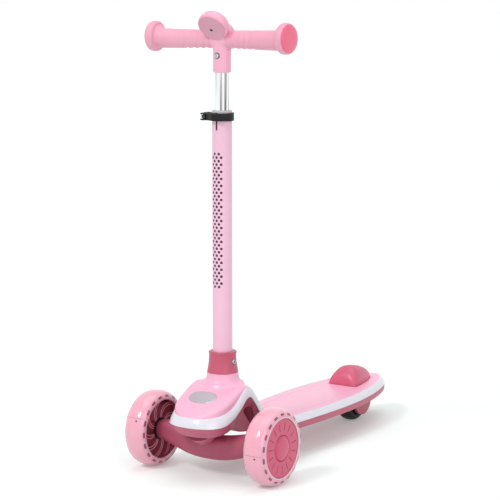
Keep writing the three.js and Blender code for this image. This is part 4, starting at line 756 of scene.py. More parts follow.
def trimBand():
    # A five-cornered section at each row of the outlines, its corners rounded
    middle = (upper + lower) / 2 + outward * trim["bulge"] + [0, 0, trim["bulge"]]
    innerLow = lower - outward * (trim["wall"] + trim["seat"])
    innerHigh = upper - outward * trim["wall"] - [0, 0, trim["wall"]]
    top = upper + outward * (gap + trim["proud"]) + [0, 0, trim["rise"]]
    section = np.stack([top, middle, lower, innerLow, innerHigh], 1)
    section = softened(section, [trim["edge"], trim["ridge"], trim["edge"], trim["hidden"],
                                 trim["hidden"]], closed=True)
    full = np.vstack([section, (section * [-1, 1, 1])[::-1][1:-1]])
    return objectOf("trimLoop", [sheet(full, rows=True, columns=True)], sharp=50)


settle(trimBand(), "deck", trimWhite, ["trim_band"])


# Lower shell: skirt, belly and pan with the boss that the kingpin passes through
pan = {"wall": 3, "bellyRound": 9, "footRound": 5, "bossLow": 16, "bossHigh": 26, "bossFoot": 20.5,
       "bossTop": 40, "bossRound": 4, "bore": 6.4, "boreFrom": 10, "boreTo": 60, "wellHalf": 24.5,
       "wellFront": 376, "wellBack": 486, "wellDeep": 9, "pivotY": -3, "pivotZ": 45.5, "tilt": 35}


def toPivot(points):
    # From round Z to round the kingpin, which leans forward
    return tilted(points, pan["tilt"]) + [0, pan["pivotY"], pan["pivotZ"]]


# The dark hollow in each wheel arch: a cup whose rim lies in the shell's wall
hollow = {"back": 24, "wall": 1, "reach": 70, "round": 2.5, "low": 20}
hollowRim = [[36.7, 40.5, 105.5], [42.9, 44.8, 104], [42.3, 49.3, 97], [42.2, 53.6, 88], [40.9, 56, 80],
             [36.4, 55, 72.5], [33.8, 50.5, 77.5], [32.4, 45, 86.5], [31.2, 39, 94.5], [32.2, 38, 101]]


def hollowRings(levels):
    # The rim grown away from its middle, once for each level, at a place along X or at the rim's own
    rim = softened(hollowRim, hollow["round"], 4, closed=True)
    out = unit((rim - rim.mean(0)) * [0, 1, 1])
    rings = []
    for grow, x in levels:
        ring = rim + out * grow
        if x is not None:
            ring[:, 0] = x
        rings.append(ring)
    return withEnds(np.stack(rings))


def archHollows():
    # A thin cup: its inside from the floor out to the rim, then its outside back in
    h = hollow
    cup = hollowRings([(0, h["back"]), (0, None), (h["wall"], None), (h["wall"], h["back"] - h["wall"])])
    return objectOf("archHollows", [cup, mirroredSheet(cup)])


def lowerShell():
    # Ribs from the trim over belly and skirt to the middle line, and back inside at the wall's depth
    def skin(inset, lift):
        top = lower - outward * (trim["seat"] + inset)
        middle = belly - outward * inset
        foot = skirt - outward * inset + [0, 0, lift]
        centre = foot * [0, 1, 1]
        line = np.stack([top - [0, 0, gap], middle, foot, centre], 1)
        line[[0, -1], :, 0] = 0
        return softened(line, [0, pan["bellyRound"], pan["footRound"], 0], steps=8)
    side = sheet(np.concatenate([skin(0, 0), skin(pan["wall"], pan["wall"])[:, ::-1]], 1), columns=True)
    shape = objectOf("lowerShellSkin", [side, mirroredSheet(side)])
    boss = solidLathe(softened([[0, pan["bossFoot"]], [pan["bossLow"], pan["bossFoot"]],
                                [pan["bossHigh"], pan["bossTop"]], [0, pan["bossTop"]]],
                               [0, pan["bossRound"], 1, 0]), 64)
    cut(shape, [[moved(boss, toPivot)]], "UNION")
    bore = moved(rod(pan["bore"], pan["boreFrom"], pan["boreTo"], 40), toPivot)
    well = box((-pan["wellHalf"], pan["wellFront"], shell["panDeck"] - pan["wellDeep"]),
               (pan["wellHalf"], pan["wellBack"], shell["deckTop"]))
    opening = hollowRings([(0, hollow["low"]), (0, hollow["reach"])])
    return cut(shape, [[bore], [well], [opening], [mirroredSheet(opening)]])


panSkin = lowerShell()
settle(panSkin, "deck", rosePolypropylene, ["lower_shell"])
settle(archHollows(), "deck", rosePolypropylene)
print("lower shell", len(panSkin.data.polygons), "faces")


# Badge: a bare satin oval that lies on the crown
badge = {"halfX": 24, "halfY": 12.8, "y": -25.2, "thick": 1.4, "power": 2.4, "sunk": .3}


def badgePlate():
    # Rings of a superellipse, from the middle out, lifted off the crown by a rounded edge's profile
    share = np.r_[0, .3, .6, .85, .95, .985, 1, 1]
    lift = np.r_[1, 1, 1, 1, .97, .85, .55, -badge["sunk"]] * badge["thick"]
    across, along = superCircle(72, badge["power"])
    x = np.outer(across * badge["halfX"], share)
    y = np.outer(along * badge["halfY"], share) + badge["y"]
    top = np.stack([x, y, crownHeight(x, y) + lift], -1)
    low = top[:, :1] * 1.0
    low[..., 2] = crownHeight(low[..., 0], low[..., 1]) - badge["sunk"] * badge["thick"]
    return objectOf("badgeOval", [sheet(np.concatenate([top, low], 1), rows=True)])


settle(badgePlate(), "deck", badgeMetal, ["badge_plate"])


# Collar round the stem's foot, squarish in plan, with a waist
collar = {"low": 158, "high": 191, "foot": 23.6, "waist": 20.5, "lip": 21.1, "bore": 15.9,
          "power": 2.5, "square": .5, "edge": .6, "flareAt": [0, .1, .22, .35, .5, .72, 1],
          "flare": [1, .86, .6, .38, .17, 0, 0], "lipFrom": .86, "lipLong": .08,
          "lipEdge": [[0, .9], [.3, .25], [1, 0]], "sides": 120,
          "boltZ": 175.5, "seat": 19, "seatEnd": 40, "seatRadius": 4.7}
# Collar bolt: the head's profile; 'socket' and 'shadow' are dark discs of painted shade
bolt = {"head": [[0, 18.2], [3.9, 18.2], [3.9, 21.2], [3.3, 21.9], [2.4, 21.9], [2.1, 21.4], [2.1, 20],
                 [0, 20]],
        "socket": (2.05, 20.02, 20.6), "shadow": [[4, 19.02], [4.65, 19.02], [4.65, 19.6], [4, 19.6]]}


def collarRing():
    # Its radius is the waist plus a flare, smoothed by a running mean, and a lip; in plan it is half
    # circle and half superellipse. Two round seats for the bolt are cut in its sides
    share = np.linspace(0, 1, 40)
    flare = np.interp(share, collar["flareAt"], collar["flare"])
    flare = np.convolve(np.pad(flare, 2, mode="edge"), np.ones(5) / 5, "valid")
    lip = np.clip((share - collar["lipFrom"]) / collar["lipLong"], 0, 1)
    radius = (collar["waist"] + (collar["foot"] - collar["waist"]) * flare
              + (collar["lip"] - collar["waist"]) * eased(lip))
    outer = np.stack([radius, collar["low"] + share * (collar["high"] - collar["low"])], -1)
    edge = collar["edge"]
    outer[0] = [outer[0, 0] - edge, collar["low"]]
    outer = np.vstack([outer[:1], outer[:1] + edge, outer[2:-1], outer[-1] - collar["lipEdge"]])
    sides = collar["sides"]
    c, s = circleOf(sides)
    norm = (np.abs(c) ** collar["power"] + np.abs(s) ** collar["power"]) ** (-1 / collar["power"])
    norm = lerp(1, norm, collar["square"])
    grid = np.stack([np.outer(c * norm, outer[:, 0]), np.outer(s * norm, outer[:, 0]),
                     np.broadcast_to(outer[:, 1], (sides, len(outer)))], -1)
    bore = lathe([[collar["bore"], collar["high"]], [collar["bore"], collar["low"]]], sides)
    ring = stemPlace(np.concatenate([grid, bore], 1))
    seat = rod(collar["seatRadius"], collar["seat"], collar["seatEnd"], 40)
    seats = [[moved(seat, sideways(side, [0, neck["stemY"], collar["boltZ"]]))] for side in (1, -1)]
    return cut(objectOf("collarRing", [sheet(ring, rows=True, columns=True)]), seats)


def boltPieces():
    # Screw head with a socket, and dark discs on the floor of the socket and in the seat round the head:
    # painted shade in those recesses
    place = sideways(1, [0, neck["stemY"], collar["boltZ"]])
    head = objectOf("collarBoltSkin", [moved(solidLathe(bolt["head"], 48), place)])
    settle(head, "deck", zincSteel, ["collar_bolt"])
    shades = [rod(*bolt["socket"], 24), solidLathe(bolt["shadow"], 40, closed=True)]
    shade = objectOf("collarBoltShade", [moved(one, place) for one in shades])
    settle(shade, "deck", oxideSteelAndShade)


settle(collarRing(), "deck", roseNylon, ["collar"])
boltPieces()


# Stem: a powder-coated tube with a slit at its top and printed dots up its front
stem = {"radius": 15.4, "wall": 1.5, "foot": 80, "top": 560.5, "edge": .4, "slitHalf": 1.7,
        "slitFoot": 534, "slitDeep": 20, "slitPast": 5, "dotRadius": 2.1, "dotTop": 498,
        "dotFoot": 293.5, "dotRows": 20, "dotStep": 14, "dotLift": [.06, .06, .05, -.25, -.25]}
# The strip of painted shade behind the slit: its half width, radii and heights
slit = {"half": 1.9, "inner": 13.62, "outer": 13.82, "low": 533.5, "high": 560}
innerTube = {"radius": 11, "bore": 9.6, "low": 379.5, "high": 660.5}


def tubeSheet(outer, inner, low, high):
    # A tube's wall with softened edges, carried round the stem's axis
    corners = [[inner, low], [outer, low], [outer, high], [inner, high]]
    return moved(solidLathe(softened(corners, stem["edge"], closed=True), closed=True), stemPlace)


def stemTube():
    # The slit is a box cut through the tube's front at its top
    tube = objectOf("stemTubeSkin", [tubeSheet(stem["radius"], stem["radius"] - stem["wall"],
                                               stem["foot"], stem["top"])])
    return cut(tube, [[box((-stem["slitHalf"], neck["stemY"] - stem["slitDeep"], stem["slitFoot"]),
                           (stem["slitHalf"], neck["stemY"], stem["top"] + stem["slitPast"]))]])


def slitShade():
    # A curved dark strip just inside the tube, seen through the slit: painted shade of the tube's inside
    turn = np.linspace(-1, 1, 9)[:, None] * slit["half"] / stem["radius"]
    radius = np.array([[slit["inner"], slit["outer"], slit["outer"], slit["inner"]]]) + 0 * turn
    z = np.array([[slit["low"], slit["low"], slit["high"], slit["high"]]]) + 0 * turn
    strips = np.stack([np.sin(turn) * radius, neck["stemY"] - np.cos(turn) * radius, z], -1)
    return objectOf("slitShade", [withEnds(strips)])


def stemDots():
    # Discs wrapped on the tube: columns 14 degrees apart, every other one half a step lower
    pitch = (stem["dotTop"] - stem["dotFoot"]) / (stem["dotRows"] - 1)
    spots = []
    for column in range(-2, 3):
        shift = 0.5 if column % 2 == 0 else 0
        count = stem["dotRows"] - (1 if shift else 0)
        heights = stem["dotTop"] - pitch * (np.arange(count) + shift)
        spots += [(math.radians(column * stem["dotStep"]), z) for z in heights]
    c, s = circleOf(16)
    share = np.r_[0, .6, 1, 1, 0]
    sheets = []
    for turn, z in spots:
        along = np.outer(c, share) * stem["dotRadius"] / stem["radius"] + turn
        radius = stem["radius"] + np.broadcast_to(stem["dotLift"], along.shape)
        grid = np.stack([np.sin(along) * radius, neck["stemY"] - np.cos(along) * radius,
                         z + np.outer(s, share) * stem["dotRadius"]], -1)
        sheets.append(sheet(grid, rows=True))
    return objectOf("stemDots", sheets)


settle(stemTube(), "deck", powderPink, ["stem_tube"])
settle(slitShade(), "deck", plumInkAndShade)
settle(stemDots(), "deck", plumInkAndShade)
tubeSkin = tubeSheet(innerTube["radius"], innerTube["bore"], innerTube["low"], innerTube["high"])
settle(objectOf("innerTubeSkin", [tubeSkin]), "handlebar", chromeReflectionStreaks, ["inner_tube"])
print("stem made")


# Clamp lever: a strip that hugs the ring from its cam round the front, with a small raised pad
clamp = {"ring": 18.35, "offset": 2.2, "flare": 5.6, "start": 208, "end": 326, "thick": 1.5, "tall": 5.5,
         "edge": .6, "middle": 554, "pivot": (-24.5, -12.65), "cam": 6, "slotRadius": 7, "slotHalf": 3.4,
         "pin": 2.4, "pinReach": 12, "padFrom": 263, "padTo": 272, "padTall": 2.4, "padThick": 1.9,
         "padEdge": .4, "padRows": 8, "rows": 50}
# Along the lever: share of the flare, share of the turn, share of the thickness
leverShares = [[1, 0, 1.5], [.54, .067, 1.38], [.18, .147, 1.1], [0, .24, 1], [0, .5, 1], [0, .8, 1],
               [.04, .93, 1], [.12, 1, .7]]


def strip(line, half, tall, edge, z):
    # Rounded rectangles set square to a level line, each as wide as its place along it says
    section = softened([[-1, -tall], [1, -tall], [1, tall], [-1, tall]], edge, closed=True)
    return swept(line, section + [0, z], np.reshape(half, (-1, 1, 1)))


def clampLever():
    # The strip's line is an arc round the stem whose radius flares out to the cam
    k = clamp

    def arcOf(far, degrees):
        turn = np.radians(degrees)
        return np.stack([far * np.cos(turn), neck["stemY"] + far * np.sin(turn)], -1)
    shares = alongCurve(leverShares, k["rows"])
    line = arcOf(k["ring"] + k["offset"] + shares[:, 0] * k["flare"],
                 lerp(k["start"], k["end"], shares[:, 1]))
    arm = strip(line, shares[:, 2] * k["thick"], k["tall"], k["edge"], k["middle"])
    padLine = arcOf(k["ring"] + k["offset"], np.linspace(k["padFrom"], k["padTo"], k["padRows"]))
    raised = strip(padLine, np.full(k["padRows"], k["padThick"]), k["padTall"], k["padEdge"], k["middle"])

    def atPivot(radius, tall):
        place = [k["pivot"][0], neck["stemY"] + k["pivot"][1], k["middle"]]
        return moved(rod(radius, -tall, tall, 48), lambda points: points + place)
    shape = objectOf("clampLeverSkin", [arm])
    cut(shape, [[raised], [atPivot(k["cam"], k["tall"])]], "UNION")
    return cut(shape, [[atPivot(k["slotRadius"], k["slotHalf"])], [atPivot(k["pin"], k["pinReach"])]])


settle(clampLever(), "clamp_lever", blackNylon, ["clamp_lever"])
print("clamp made")


# Front beam: superellipse sections along X
beam = {"reach": 99.45, "halfHeight": 19.2, "halfDepth": 15.5, "power": 2.8, "sag": 14.5,
        "face": 19.8, "faceRadius": 36, "faceEnd": 60, "sides": 64, "rows": 60}
# Shares along the beam: of its reach, of its climb, of its height, of its depth
beamShares = [[0, 0, 1, 1], [.2, .05, 1, 1], [.38, .22, .99, 1], [.55, .48, .96, .97],
              [.7, .74, .93, .95], [.83, .93, .88, .92], [.93, 1, .8, .86], [1, 1, .66, .72]]
beamEnd = [[1.002, 1, .6, .655], [1.003, 1, .5, .55], [1.003, 1, 0, 0]]  # a rounded end that closes


def frontBeam():
    # Each row's section is a superellipse, as high and as deep as its shares say, and the rows climb by
    # the sag from the middle out. A round cut then squares the face to the kingpin
    dense = alongCurve(beamShares, beam["rows"])
    dense[0, 1], dense[-1, 0] = 0, 1
    dense = np.vstack([dense, beamEnd])
    across, up = superCircle(beam["sides"], beam["power"])
    grid = np.stack([np.broadcast_to(dense[:, :1] * beam["reach"], (len(dense), beam["sides"])),
                     dense[:, 3:] * (across * beam["halfDepth"]) + lerp(pan["pivotY"], 0, dense[:, 1:2]),
                     dense[:, 2:3] * (up * beam["halfHeight"]) + pan["pivotZ"]
                     + beam["sag"] * dense[:, 1:2]], -1)
    side = sheet(grid, columns=True)
    shape = objectOf("frontBeamSkin", [side, mirroredSheet(side)])
    face = moved(rod(beam["faceRadius"], beam["face"], beam["faceEnd"], 48), toPivot)
    return cut(shape, [[face]])


settle(frontBeam(), "front_beam", beamNylon, ["front_beam"])


# Front wheels: each piece is made round Z, which points outwards, then turned to its side.
# Places in a section are (radius, place along the axle)
tyre = {"track": 110.5, "radius": 60, "half": 19, "lip": 48, "power": 2.3, "sides": 128,
        "inside": [[46.8, -18.6], [46.2, -17.6], [46.4, -17.5], [51.2, -17.5],
                   [51.2, 14.9], [45.8, 14.9], [45.8, 16.8], [46.3, 18.4]],
        "lipAt": (46.6, 18.3), "lipThick": .75}


def tyreProfile(size):
    # Half of the section, lip to tread: a superellipse between its widest place and its crown
    turn = np.linspace(0, quarter, 26)
    power = 2 / size["power"]
    side = np.stack([size["lip"] + (size["radius"] - size["lip"]) * np.maximum(np.sin(turn), 0) ** power,
                     size["half"] * np.maximum(np.cos(turn), 0) ** power], -1)
    side[0], side[-1] = [size["lip"], size["half"]], [size["radius"], 0]
    return side


def tyreSheet(size):
    # The section closes over the rim: 'inside' holds the points of its seat, from the far side back
    side = tyreProfile(size)
    profile = np.vstack([side, (side * [1, -1])[::-1][1:], size["inside"]])
    return solidLathe(profile, size["sides"], closed=True)


# What shows on the tyre's side. Rises are degrees above straight ahead, as the photo has them
marks = {"windows": 18, "windowLong": 9, "windowAt": 53, "windowFrom": .12, "windowTo": .3,
         "windowLift": .12, "seamHalf": .35, "seamFrom": .3, "seamTo": 1, "seamLift": .05,
         "seamRise": {"left": -1.5, "right": 26}, "dotHalf": 1.3, "dotLong": .08, "dotLift": .1,
         "dotRise": {"left": -5.5, "right": 21.5}, "dotShare": {"left": .78, "right": .8},
         "dotFace": {"left": 1, "right": -1}, "corner": 5, "sunk": .5, "points": 28}


def onTyre(face, share, along, lift):
    # A place on the tyre's side: share along its section, angle round the axle, and lift square to it
    profile = tyreProfile(tyre)
    slope = np.gradient(profile, axis=0)
    count = np.arange(len(profile))
    spot = share * count[-1]
    radius, across, outRadius, outAcross = (
        np.interp(spot, count, values) for values in (*profile.T, -slope[:, 1], slope[:, 0]))
    size = np.hypot(outRadius, outAcross)
    radius = radius + lift * outRadius / size
    across = across + lift * outAcross / size
    return np.stack([radius * np.cos(along), radius * np.sin(along), face * across], -1)


def tile(face, fromShare, toShare, angle, half, lift):
    # A thin closed tile bent over the tyre's side; its outline is a superellipse, nearly a rectangle
    wide, long = superCircle(marks["points"], marks["corner"])
    rings = [0, .6, 1, 1, 0]
    u, v = np.outer(wide, rings), np.outer(long, rings)
    raised = np.broadcast_to([lift, lift, lift * .6, -marks["sunk"], -marks["sunk"]], u.shape)
    share = lerp(fromShare, toShare, (v + 1) / 2)
    return sheet(onTyre(face, share, angle + u * half, raised), rows=True)


def windowTiles():
    # Lamp windows on both faces, the inner face's half a step round
    tiles = []
    for number in range(marks["windows"]):
        for face, shift in ((1, 0), (-1, .5)):
            angle = (number + shift) / marks["windows"] * 2 * math.pi
            tiles.append(tile(face, marks["windowFrom"], marks["windowTo"], angle,
                              marks["windowLong"] / 2 / marks["windowAt"], marks["windowLift"]))
    return tiles


hub = {"shoulder": 9, "shoulderHalf": 3, "bearing": 11.2, "boss": 15, "bossHalf": 10.35, "webBack": -3,
       "webFront": 1, "wall": 42.2, "recess": 46.2, "rim": 49, "rimBack": -17.1, "rimFront": 14.4,
       "edge": .5, "seal": [[14.3, -10.7], [14.3, -12.4], [17.6, -12.4], [17.6, -10.7]], "sealEdge": .3}


def hubSheet():
    # Boss for the bearings, web, and rim with the recess behind it, one profile round the axle
    h = hub
    profile = [[h["shoulder"], -h["shoulderHalf"]], [h["bearing"], -h["shoulderHalf"]],
               [h["bearing"], -h["bossHalf"]], [h["boss"], -h["bossHalf"]], [h["boss"], h["webBack"]],
               [h["recess"], h["webBack"]], [h["recess"], h["rimBack"]], [h["rim"], h["rimBack"]],
               [h["rim"], h["rimFront"]], [h["wall"], h["rimFront"]], [h["wall"], h["webFront"]],
               [h["boss"], h["webFront"]], [h["boss"], h["bossHalf"]], [h["bearing"], h["bossHalf"]],
               [h["bearing"], h["shoulderHalf"]], [h["shoulder"], h["shoulderHalf"]]]
    return solidLathe(softened(profile, h["edge"], closed=True), closed=True)


fins = {"pairs": 9, "sweep": 38, "split": 9, "thick": .5, "tall": 9, "round": .8, "innerBite": .3,
        "outerBite": .5, "webBite": .3, "rows": 14, "topDrop": .2, "edgeThick": 1.1, "edgeTall": .7}


def finSheets(thick, low, high):
    # Fins in pairs from the boss to the rim; each turns by its sweep times the share of the way squared
    share = np.linspace(0, 1, fins["rows"])
    radius = lerp(hub["boss"] - fins["innerBite"], hub["recess"] + fins["outerBite"], share)
    half = thick / 2
    section = softened([[-half, high], [-half, low], [half, low], [half, high]], half * fins["round"],
                       closed=True)
    sheets = []
    for pair in range(fins["pairs"]):
        for offset in (0, fins["split"]):
            angle = np.radians(pair * 360 / fins["pairs"] + offset + fins["sweep"] * share ** 2)
            line = np.stack([radius * np.cos(angle), radius * np.sin(angle)], -1)
            sheets.append(swept(line, section))
    return sheets


cap = {"radius": 45.2, "face": 17.8, "thick": 3, "dome": 19.7, "domeRise": 2.4, "domePower": .8,
       "groove": [[1.3, 0], [.2, -1.1], [-.9, 0]], "rounds": [.2, 1.1, .5, .3, .5], "sides": 128,
       "shadowOut": .25, "shadowHalf": .45, "shadowLow": 1.3, "shadowHigh": 1, "ticks": 15,
       "tickFrom": .6, "tickTo": .86, "tickWidth": 1.1, "tickDepth": .9, "tickAbove": 2}


def capSheet():
    # A flat plate with a groove round its dome; the dome is a quarter ellipse, a little fuller
    edge = cap["dome"] + cap["groove"][-1][0]
    plate = softened([[cap["radius"], cap["face"] - cap["thick"]], [cap["radius"], cap["face"]],
                      *(np.array(cap["groove"]) + [cap["dome"], cap["face"]])], cap["rounds"])
    turn = np.linspace(0, quarter, 14)[1:]
    crown = np.stack([edge * np.cos(turn) ** cap["domePower"],
                      cap["face"] + cap["domeRise"] * np.sin(turn)], -1)
    crown[-1, 0] = 0
    profile = np.vstack([[[0, cap["face"] - cap["thick"]]], plate, crown])
    return solidLathe(profile, cap["sides"])


def tickCutters():
    # Slots with round ends, like the marks of a clock
    c, s = circleOf(20)
    x = np.where(c > 0, cap["tickTo"], cap["tickFrom"]) * cap["radius"] + c * cap["tickWidth"] / 2
    y = s * cap["tickWidth"] / 2
    cutters = []
    for number in range(cap["ticks"]):
        turn = number / cap["ticks"] * 2 * math.pi
        line = np.stack([x * math.cos(turn) - y * math.sin(turn),
                         x * math.sin(turn) + y * math.cos(turn)], -1)
        cutters.append(prism(line, cap["face"] - cap["tickDepth"], cap["face"] + cap["tickAbove"]))
    return cutters


def grooveCutter():
    # A thin ring that cuts the line round the dome; its cut faces take painted shade
    middle = cap["dome"] + cap["shadowOut"]
    inner, outer = middle - cap["shadowHalf"], middle + cap["shadowHalf"]
    low, high = cap["face"] - cap["shadowLow"], cap["face"] + cap["shadowHigh"]
    return solidLathe([[inner, low], [outer, low], [outer, high], [inner, high]], cap["sides"], closed=True)


def frontWheel(word, side):
    # Tyre and what shows on it, hub, fins with their edges painted pale as highlights, and cap, on the body
    # of one wheel
    body = f"wheel_{word}"
    place = sideways(side, [side * tyre["track"], 0, tyre["radius"]])

    def placed(sheets):
        return [moved(one, place) for one in sheets]

    def add(name, sheets, slot, material, *replaced):
        settle(objectOf(f"{name}_{word}", placed(sheets)), body, material, replaced)

    def angleAt(degrees):
        # Angle round the axle of a place so many degrees above straight ahead
        rise = math.radians(degrees)
        return math.atan2(-math.cos(rise), -side * math.sin(rise))
    m = marks
    add("tyreSkin", [tyreSheet(tyre)], "clear_pink", castUrethane, f"tyre_{word}")
    add("lampWindows", windowTiles(), "clear_pink", lampRose)
    seamAngle, seamHalf = angleAt(m["seamRise"][word]), m["seamHalf"] / tyre["radius"]
    seam = [tile(face, m["seamFrom"], m["seamTo"], seamAngle, seamHalf, m["seamLift"]) for face in (1, -1)]
    add("tyreSeam", seam, "clear_pink", lampRose)
    near = m["dotShare"][word]
    dot = tile(m["dotFace"][word], near, near + m["dotLong"], angleAt(m["dotRise"][word]),
               m["dotHalf"] / tyre["radius"], m["dotLift"])
    add("tyreDot", [dot], "clear_pink", plumInkAndShade)
    # Pale bead round the cap's edge: painted highlight
    add("tyreLip", [beadRing(*tyre["lipAt"], tyre["lipThick"], tyre["sides"])], "clear_pink", lipHighlight)
    seal = softened(hub["seal"], hub["sealEdge"], 3, closed=True)
    add("hubSeal", [solidLathe(seal, 64, closed=True)], "black_nylon", blackNylon)
    add("hubSkin", [hubSheet()], "rose_nylon", darkRoseAndShade, f"hub_{word}")
    top = hub["webBack"] - fins["tall"]
    add("hubRibs", finSheets(fins["thick"], top + fins["topDrop"], hub["webBack"] + fins["webBite"]),
        "rose_nylon", finRose)
    # Paler strips on the fins' free edges: painted highlights
    add("hubBrows", finSheets(fins["edgeThick"], top, top + fins["edgeTall"]), "rose_nylon", finEdgeHighlight)
    cover = objectOf(f"hubCapSkin_{word}", placed([capSheet()]))
    cover.data.materials.append(capRose)
    # The cut faces of the ticks and the groove take the darker rose: painted shade in them
    cut(cover, [placed(tickCutters()), placed([grooveCutter()])], material=darkRoseAndShade)
    settle(cover, body, None, [f"hub_cap_{word}"])


frontWheel("left", 1)
frontWheel("right", -1)
print("front wheels made")


# Rear wheel
rear = {"y": 431, "radius": 40, "half": 12.4, "lip": 31, "power": 2.6, "sides": 96,
        "inside": [[29, -11.4], [29, 11.4]]}
rearTyre = moved(tyreSheet(rear), sideways(1, [0, rear["y"], rear["radius"]]))
settle(objectOf("rearTyreSkin", [rearTyre]), "wheel_rear", blackTyre, ["rear_tyre"])
print("rear wheel made")


def brakeDome():
    # A dome whose sections are superellipses, with a post for its plate and two hinge lugs
    d = dome
    share = (1 - np.cos(np.linspace(0, math.pi, d["rows"]))) / 2
    turn = np.linspace(0, math.pi, d["around"])
    power = 2 / d["section"]
    half, rise = domeShape(share)

    def skin(inset):
        y = lerp(d["front"] + inset, d["back"] - inset, share)
        tall = (d["top"] - inset - shell["deckTop"]) * rise
        x = np.outer(half * (d["half"] - inset), np.sign(np.cos(turn)) * np.abs(np.cos(turn)) ** power)
        z = shell["deckTop"] + np.outer(tall, np.maximum(np.sin(turn), 0) ** power)
        arc = np.stack([x, np.broadcast_to(y[:, None], x.shape), z], -1)
        foot = arc[:, [0, -1]] * 1.0
        foot[..., 2] = shell["deckTop"] - d["skirt"]
        return np.concatenate([foot[:, :1], arc, foot[:, 1:]], 1)
    outer, inner = skin(0), skin(d["wall"])
    loop = np.concatenate([outer, inner[:, ::-1]], 1)
    front = np.stack([outer[0], inner[0]])
    shape = objectOf("brakeDomeSkin", [sheet(loop, columns=True), sheet(front)], sharp=50)
    back = d["front"] + d["wall"]
    added = [[box((-d["postHalfX"], d["postY"] - d["postHalfY"], d["postLow"]),
                  (d["postHalfX"], d["postY"] + d["postHalfY"], d["postHigh"]))]]
    for side in (1, -1):
        x0, x1 = side * d["lugX"] - d["lugHalf"], side * d["lugX"] + d["lugHalf"]
        added.append([box((x0, d["lugFront"], d["lugLow"]), (x1, back, d["lugHigh"]))])
        added.append([box((x0, d["front"] + d["bite"], d["lugHigh"] - d["overlap"]),
                          (x1, back - d["bite"], shell["deckTop"] - d["overlap"]))])
    cut(shape, added, "UNION", 50)
    hole = moved(rod(d["pinHole"], -d["pinReach"], d["pinReach"], 32),
                 sideways(1, [0, d["pinY"], d["pinZ"]]))
    return cut(shape, [[hole]], sharp=50)


settle(brakeDome(), "brake", brakeAbs, ["brake_fender"])
print("brake made")


# Handlebar: 'raised' is how far the end flanges and discs stand above the bar's own line
bar = {"height": 671, "sweep": 3.5, "raised": 3}
grip = {"start": 15.2, "end": 112, "thin": 13.6, "swell": 1.7, "grooves": 4, "grooveDepth": 1.3,
        "grooveFrom": .06, "grooveTo": .52, "flange": 23.6, "flangeEnd": 125, "flangeRound": 1.2,
        "heel": 3.2, "heelFrom": .9, "bore": 9.8, "rows": 110, "sides": 96}
# Shares of the flange's radius and of its thickness, from the hand outwards
flangeShares = [[.86, 0], [.96, .14], [1, .4], [1, .62], [.97, .86], [.93, 1]]


def toBar(along, ahead, up, side):
    # Along the swept half of the bar, across it forward, and up
    c, s = math.cos(math.radians(bar["sweep"])), math.sin(math.radians(bar["sweep"]))
    return np.stack([side * (along * c - ahead * s), neck["stemY"] - along * s - ahead * c,
                     bar["height"] + up], -1)


def gripSheet(side):
    # A rod that swells outwards, with finger grooves of a squared sine on its lower front, deepest
    # where their weight round the rod is one, and a flange that it rises to in an eased step
    g = grip
    share = np.linspace(0, 1, g["rows"])
    wave = np.clip((share - g["grooveFrom"]) / (g["grooveTo"] - g["grooveFrom"]), 0, 1)
    groove = np.sin(wave * g["grooves"] * math.pi) ** 2 * g["grooveDepth"]
    flange = softened(flangeShares, g["flangeRound"], 4)
    c, s = circleOf(g["sides"])
    weight = np.clip(.3 - .75 * s + .55 * c, 0, 1) ** .8
    near = np.clip((share - g["heelFrom"]) / (1 - g["heelFrom"]), 0, 1)
    along = np.r_[lerp(g["start"], g["end"], share), lerp(g["end"], g["flangeEnd"], flange[:, 1])]
    centre = np.r_[eased(near), np.ones(len(flange))] * bar["raised"]
    radius = np.r_[g["thin"] + g["swell"] * share + near ** 3 * g["heel"], flange[:, 0] * g["flange"]]
    radius = radius - np.outer(weight, np.r_[groove, np.zeros(len(flange))])
    skin = toBar(np.broadcast_to(along, radius.shape), radius * c[:, None],
                 radius * s[:, None] + centre, side)
    ends = np.broadcast_to([g["flangeEnd"], g["start"]], (g["sides"], 2))
    bore = np.full(2, g["bore"])
    inner = toBar(ends, np.outer(c, bore), np.outer(s, bore), side)
    return sheet(np.concatenate([skin, inner], 1), rows=True, columns=True)


disc = {"radius": 21.2, "base": 125.35, "deep": 3.4, "roundPower": .55, "risePower": 1.1, "lip": .8,
        "sides": 96}


def endDisc(side):
    # A cushion: its radius falls with a power of the cosine, its height rises with one of the sine
    d = disc
    turn = np.linspace(0, quarter, 14)
    profile = np.stack([d["radius"] * np.cos(turn) ** d["roundPower"],
                        d["base"] + d["deep"] * np.sin(turn) ** d["risePower"]], -1)
    profile[-1, 0] = 0
    profile = np.vstack([[0, d["base"]], [d["radius"] - d["lip"], d["base"]], profile])
    c, s = circleOf(d["sides"])
    along = np.broadcast_to(profile[:, 1], (d["sides"], len(profile)))
    return sheet(toBar(along, np.outer(c, profile[:, 0]), np.outer(s, profile[:, 0]) + bar["raised"], side),
                 rows=True)


tee = {"neck": 13.8, "neckFoot": 621, "footRound": .8, "cross": 14.4, "crossHalf": 14.7,
       "ball": (14.35, 19, 16.5), "ballAt": (0, 36, 679.25), "voxel": .8, "smoothing": 6}
pod = {"halfX": 25, "halfY": 23.3, "deep": 22, "round": .05, "ahead": 2.25, "height": 688.6, "lean": 54,
       "plate": .9, "plateFrom": -1.1, "plateTo": 1.5, "plateEdge": .01,
       "holeAt": (-1.5, 3.3, 0), "hole": 2.3, "holeFrom": -3, "holeTo": -.25}
# Shares of the pod's half width and of its depth, from its face back
podShares = [[0, 0], [.93, 0], [1, .12], [1, .34], [.94, .6], [.76, .82], [.4, .97], [0, 1]]


def podPlace(points):
    # From a face that looks down Z to the pod's, which leans back
    return tilted(points, -pod["lean"]) + [0, pod["ahead"], pod["height"]]


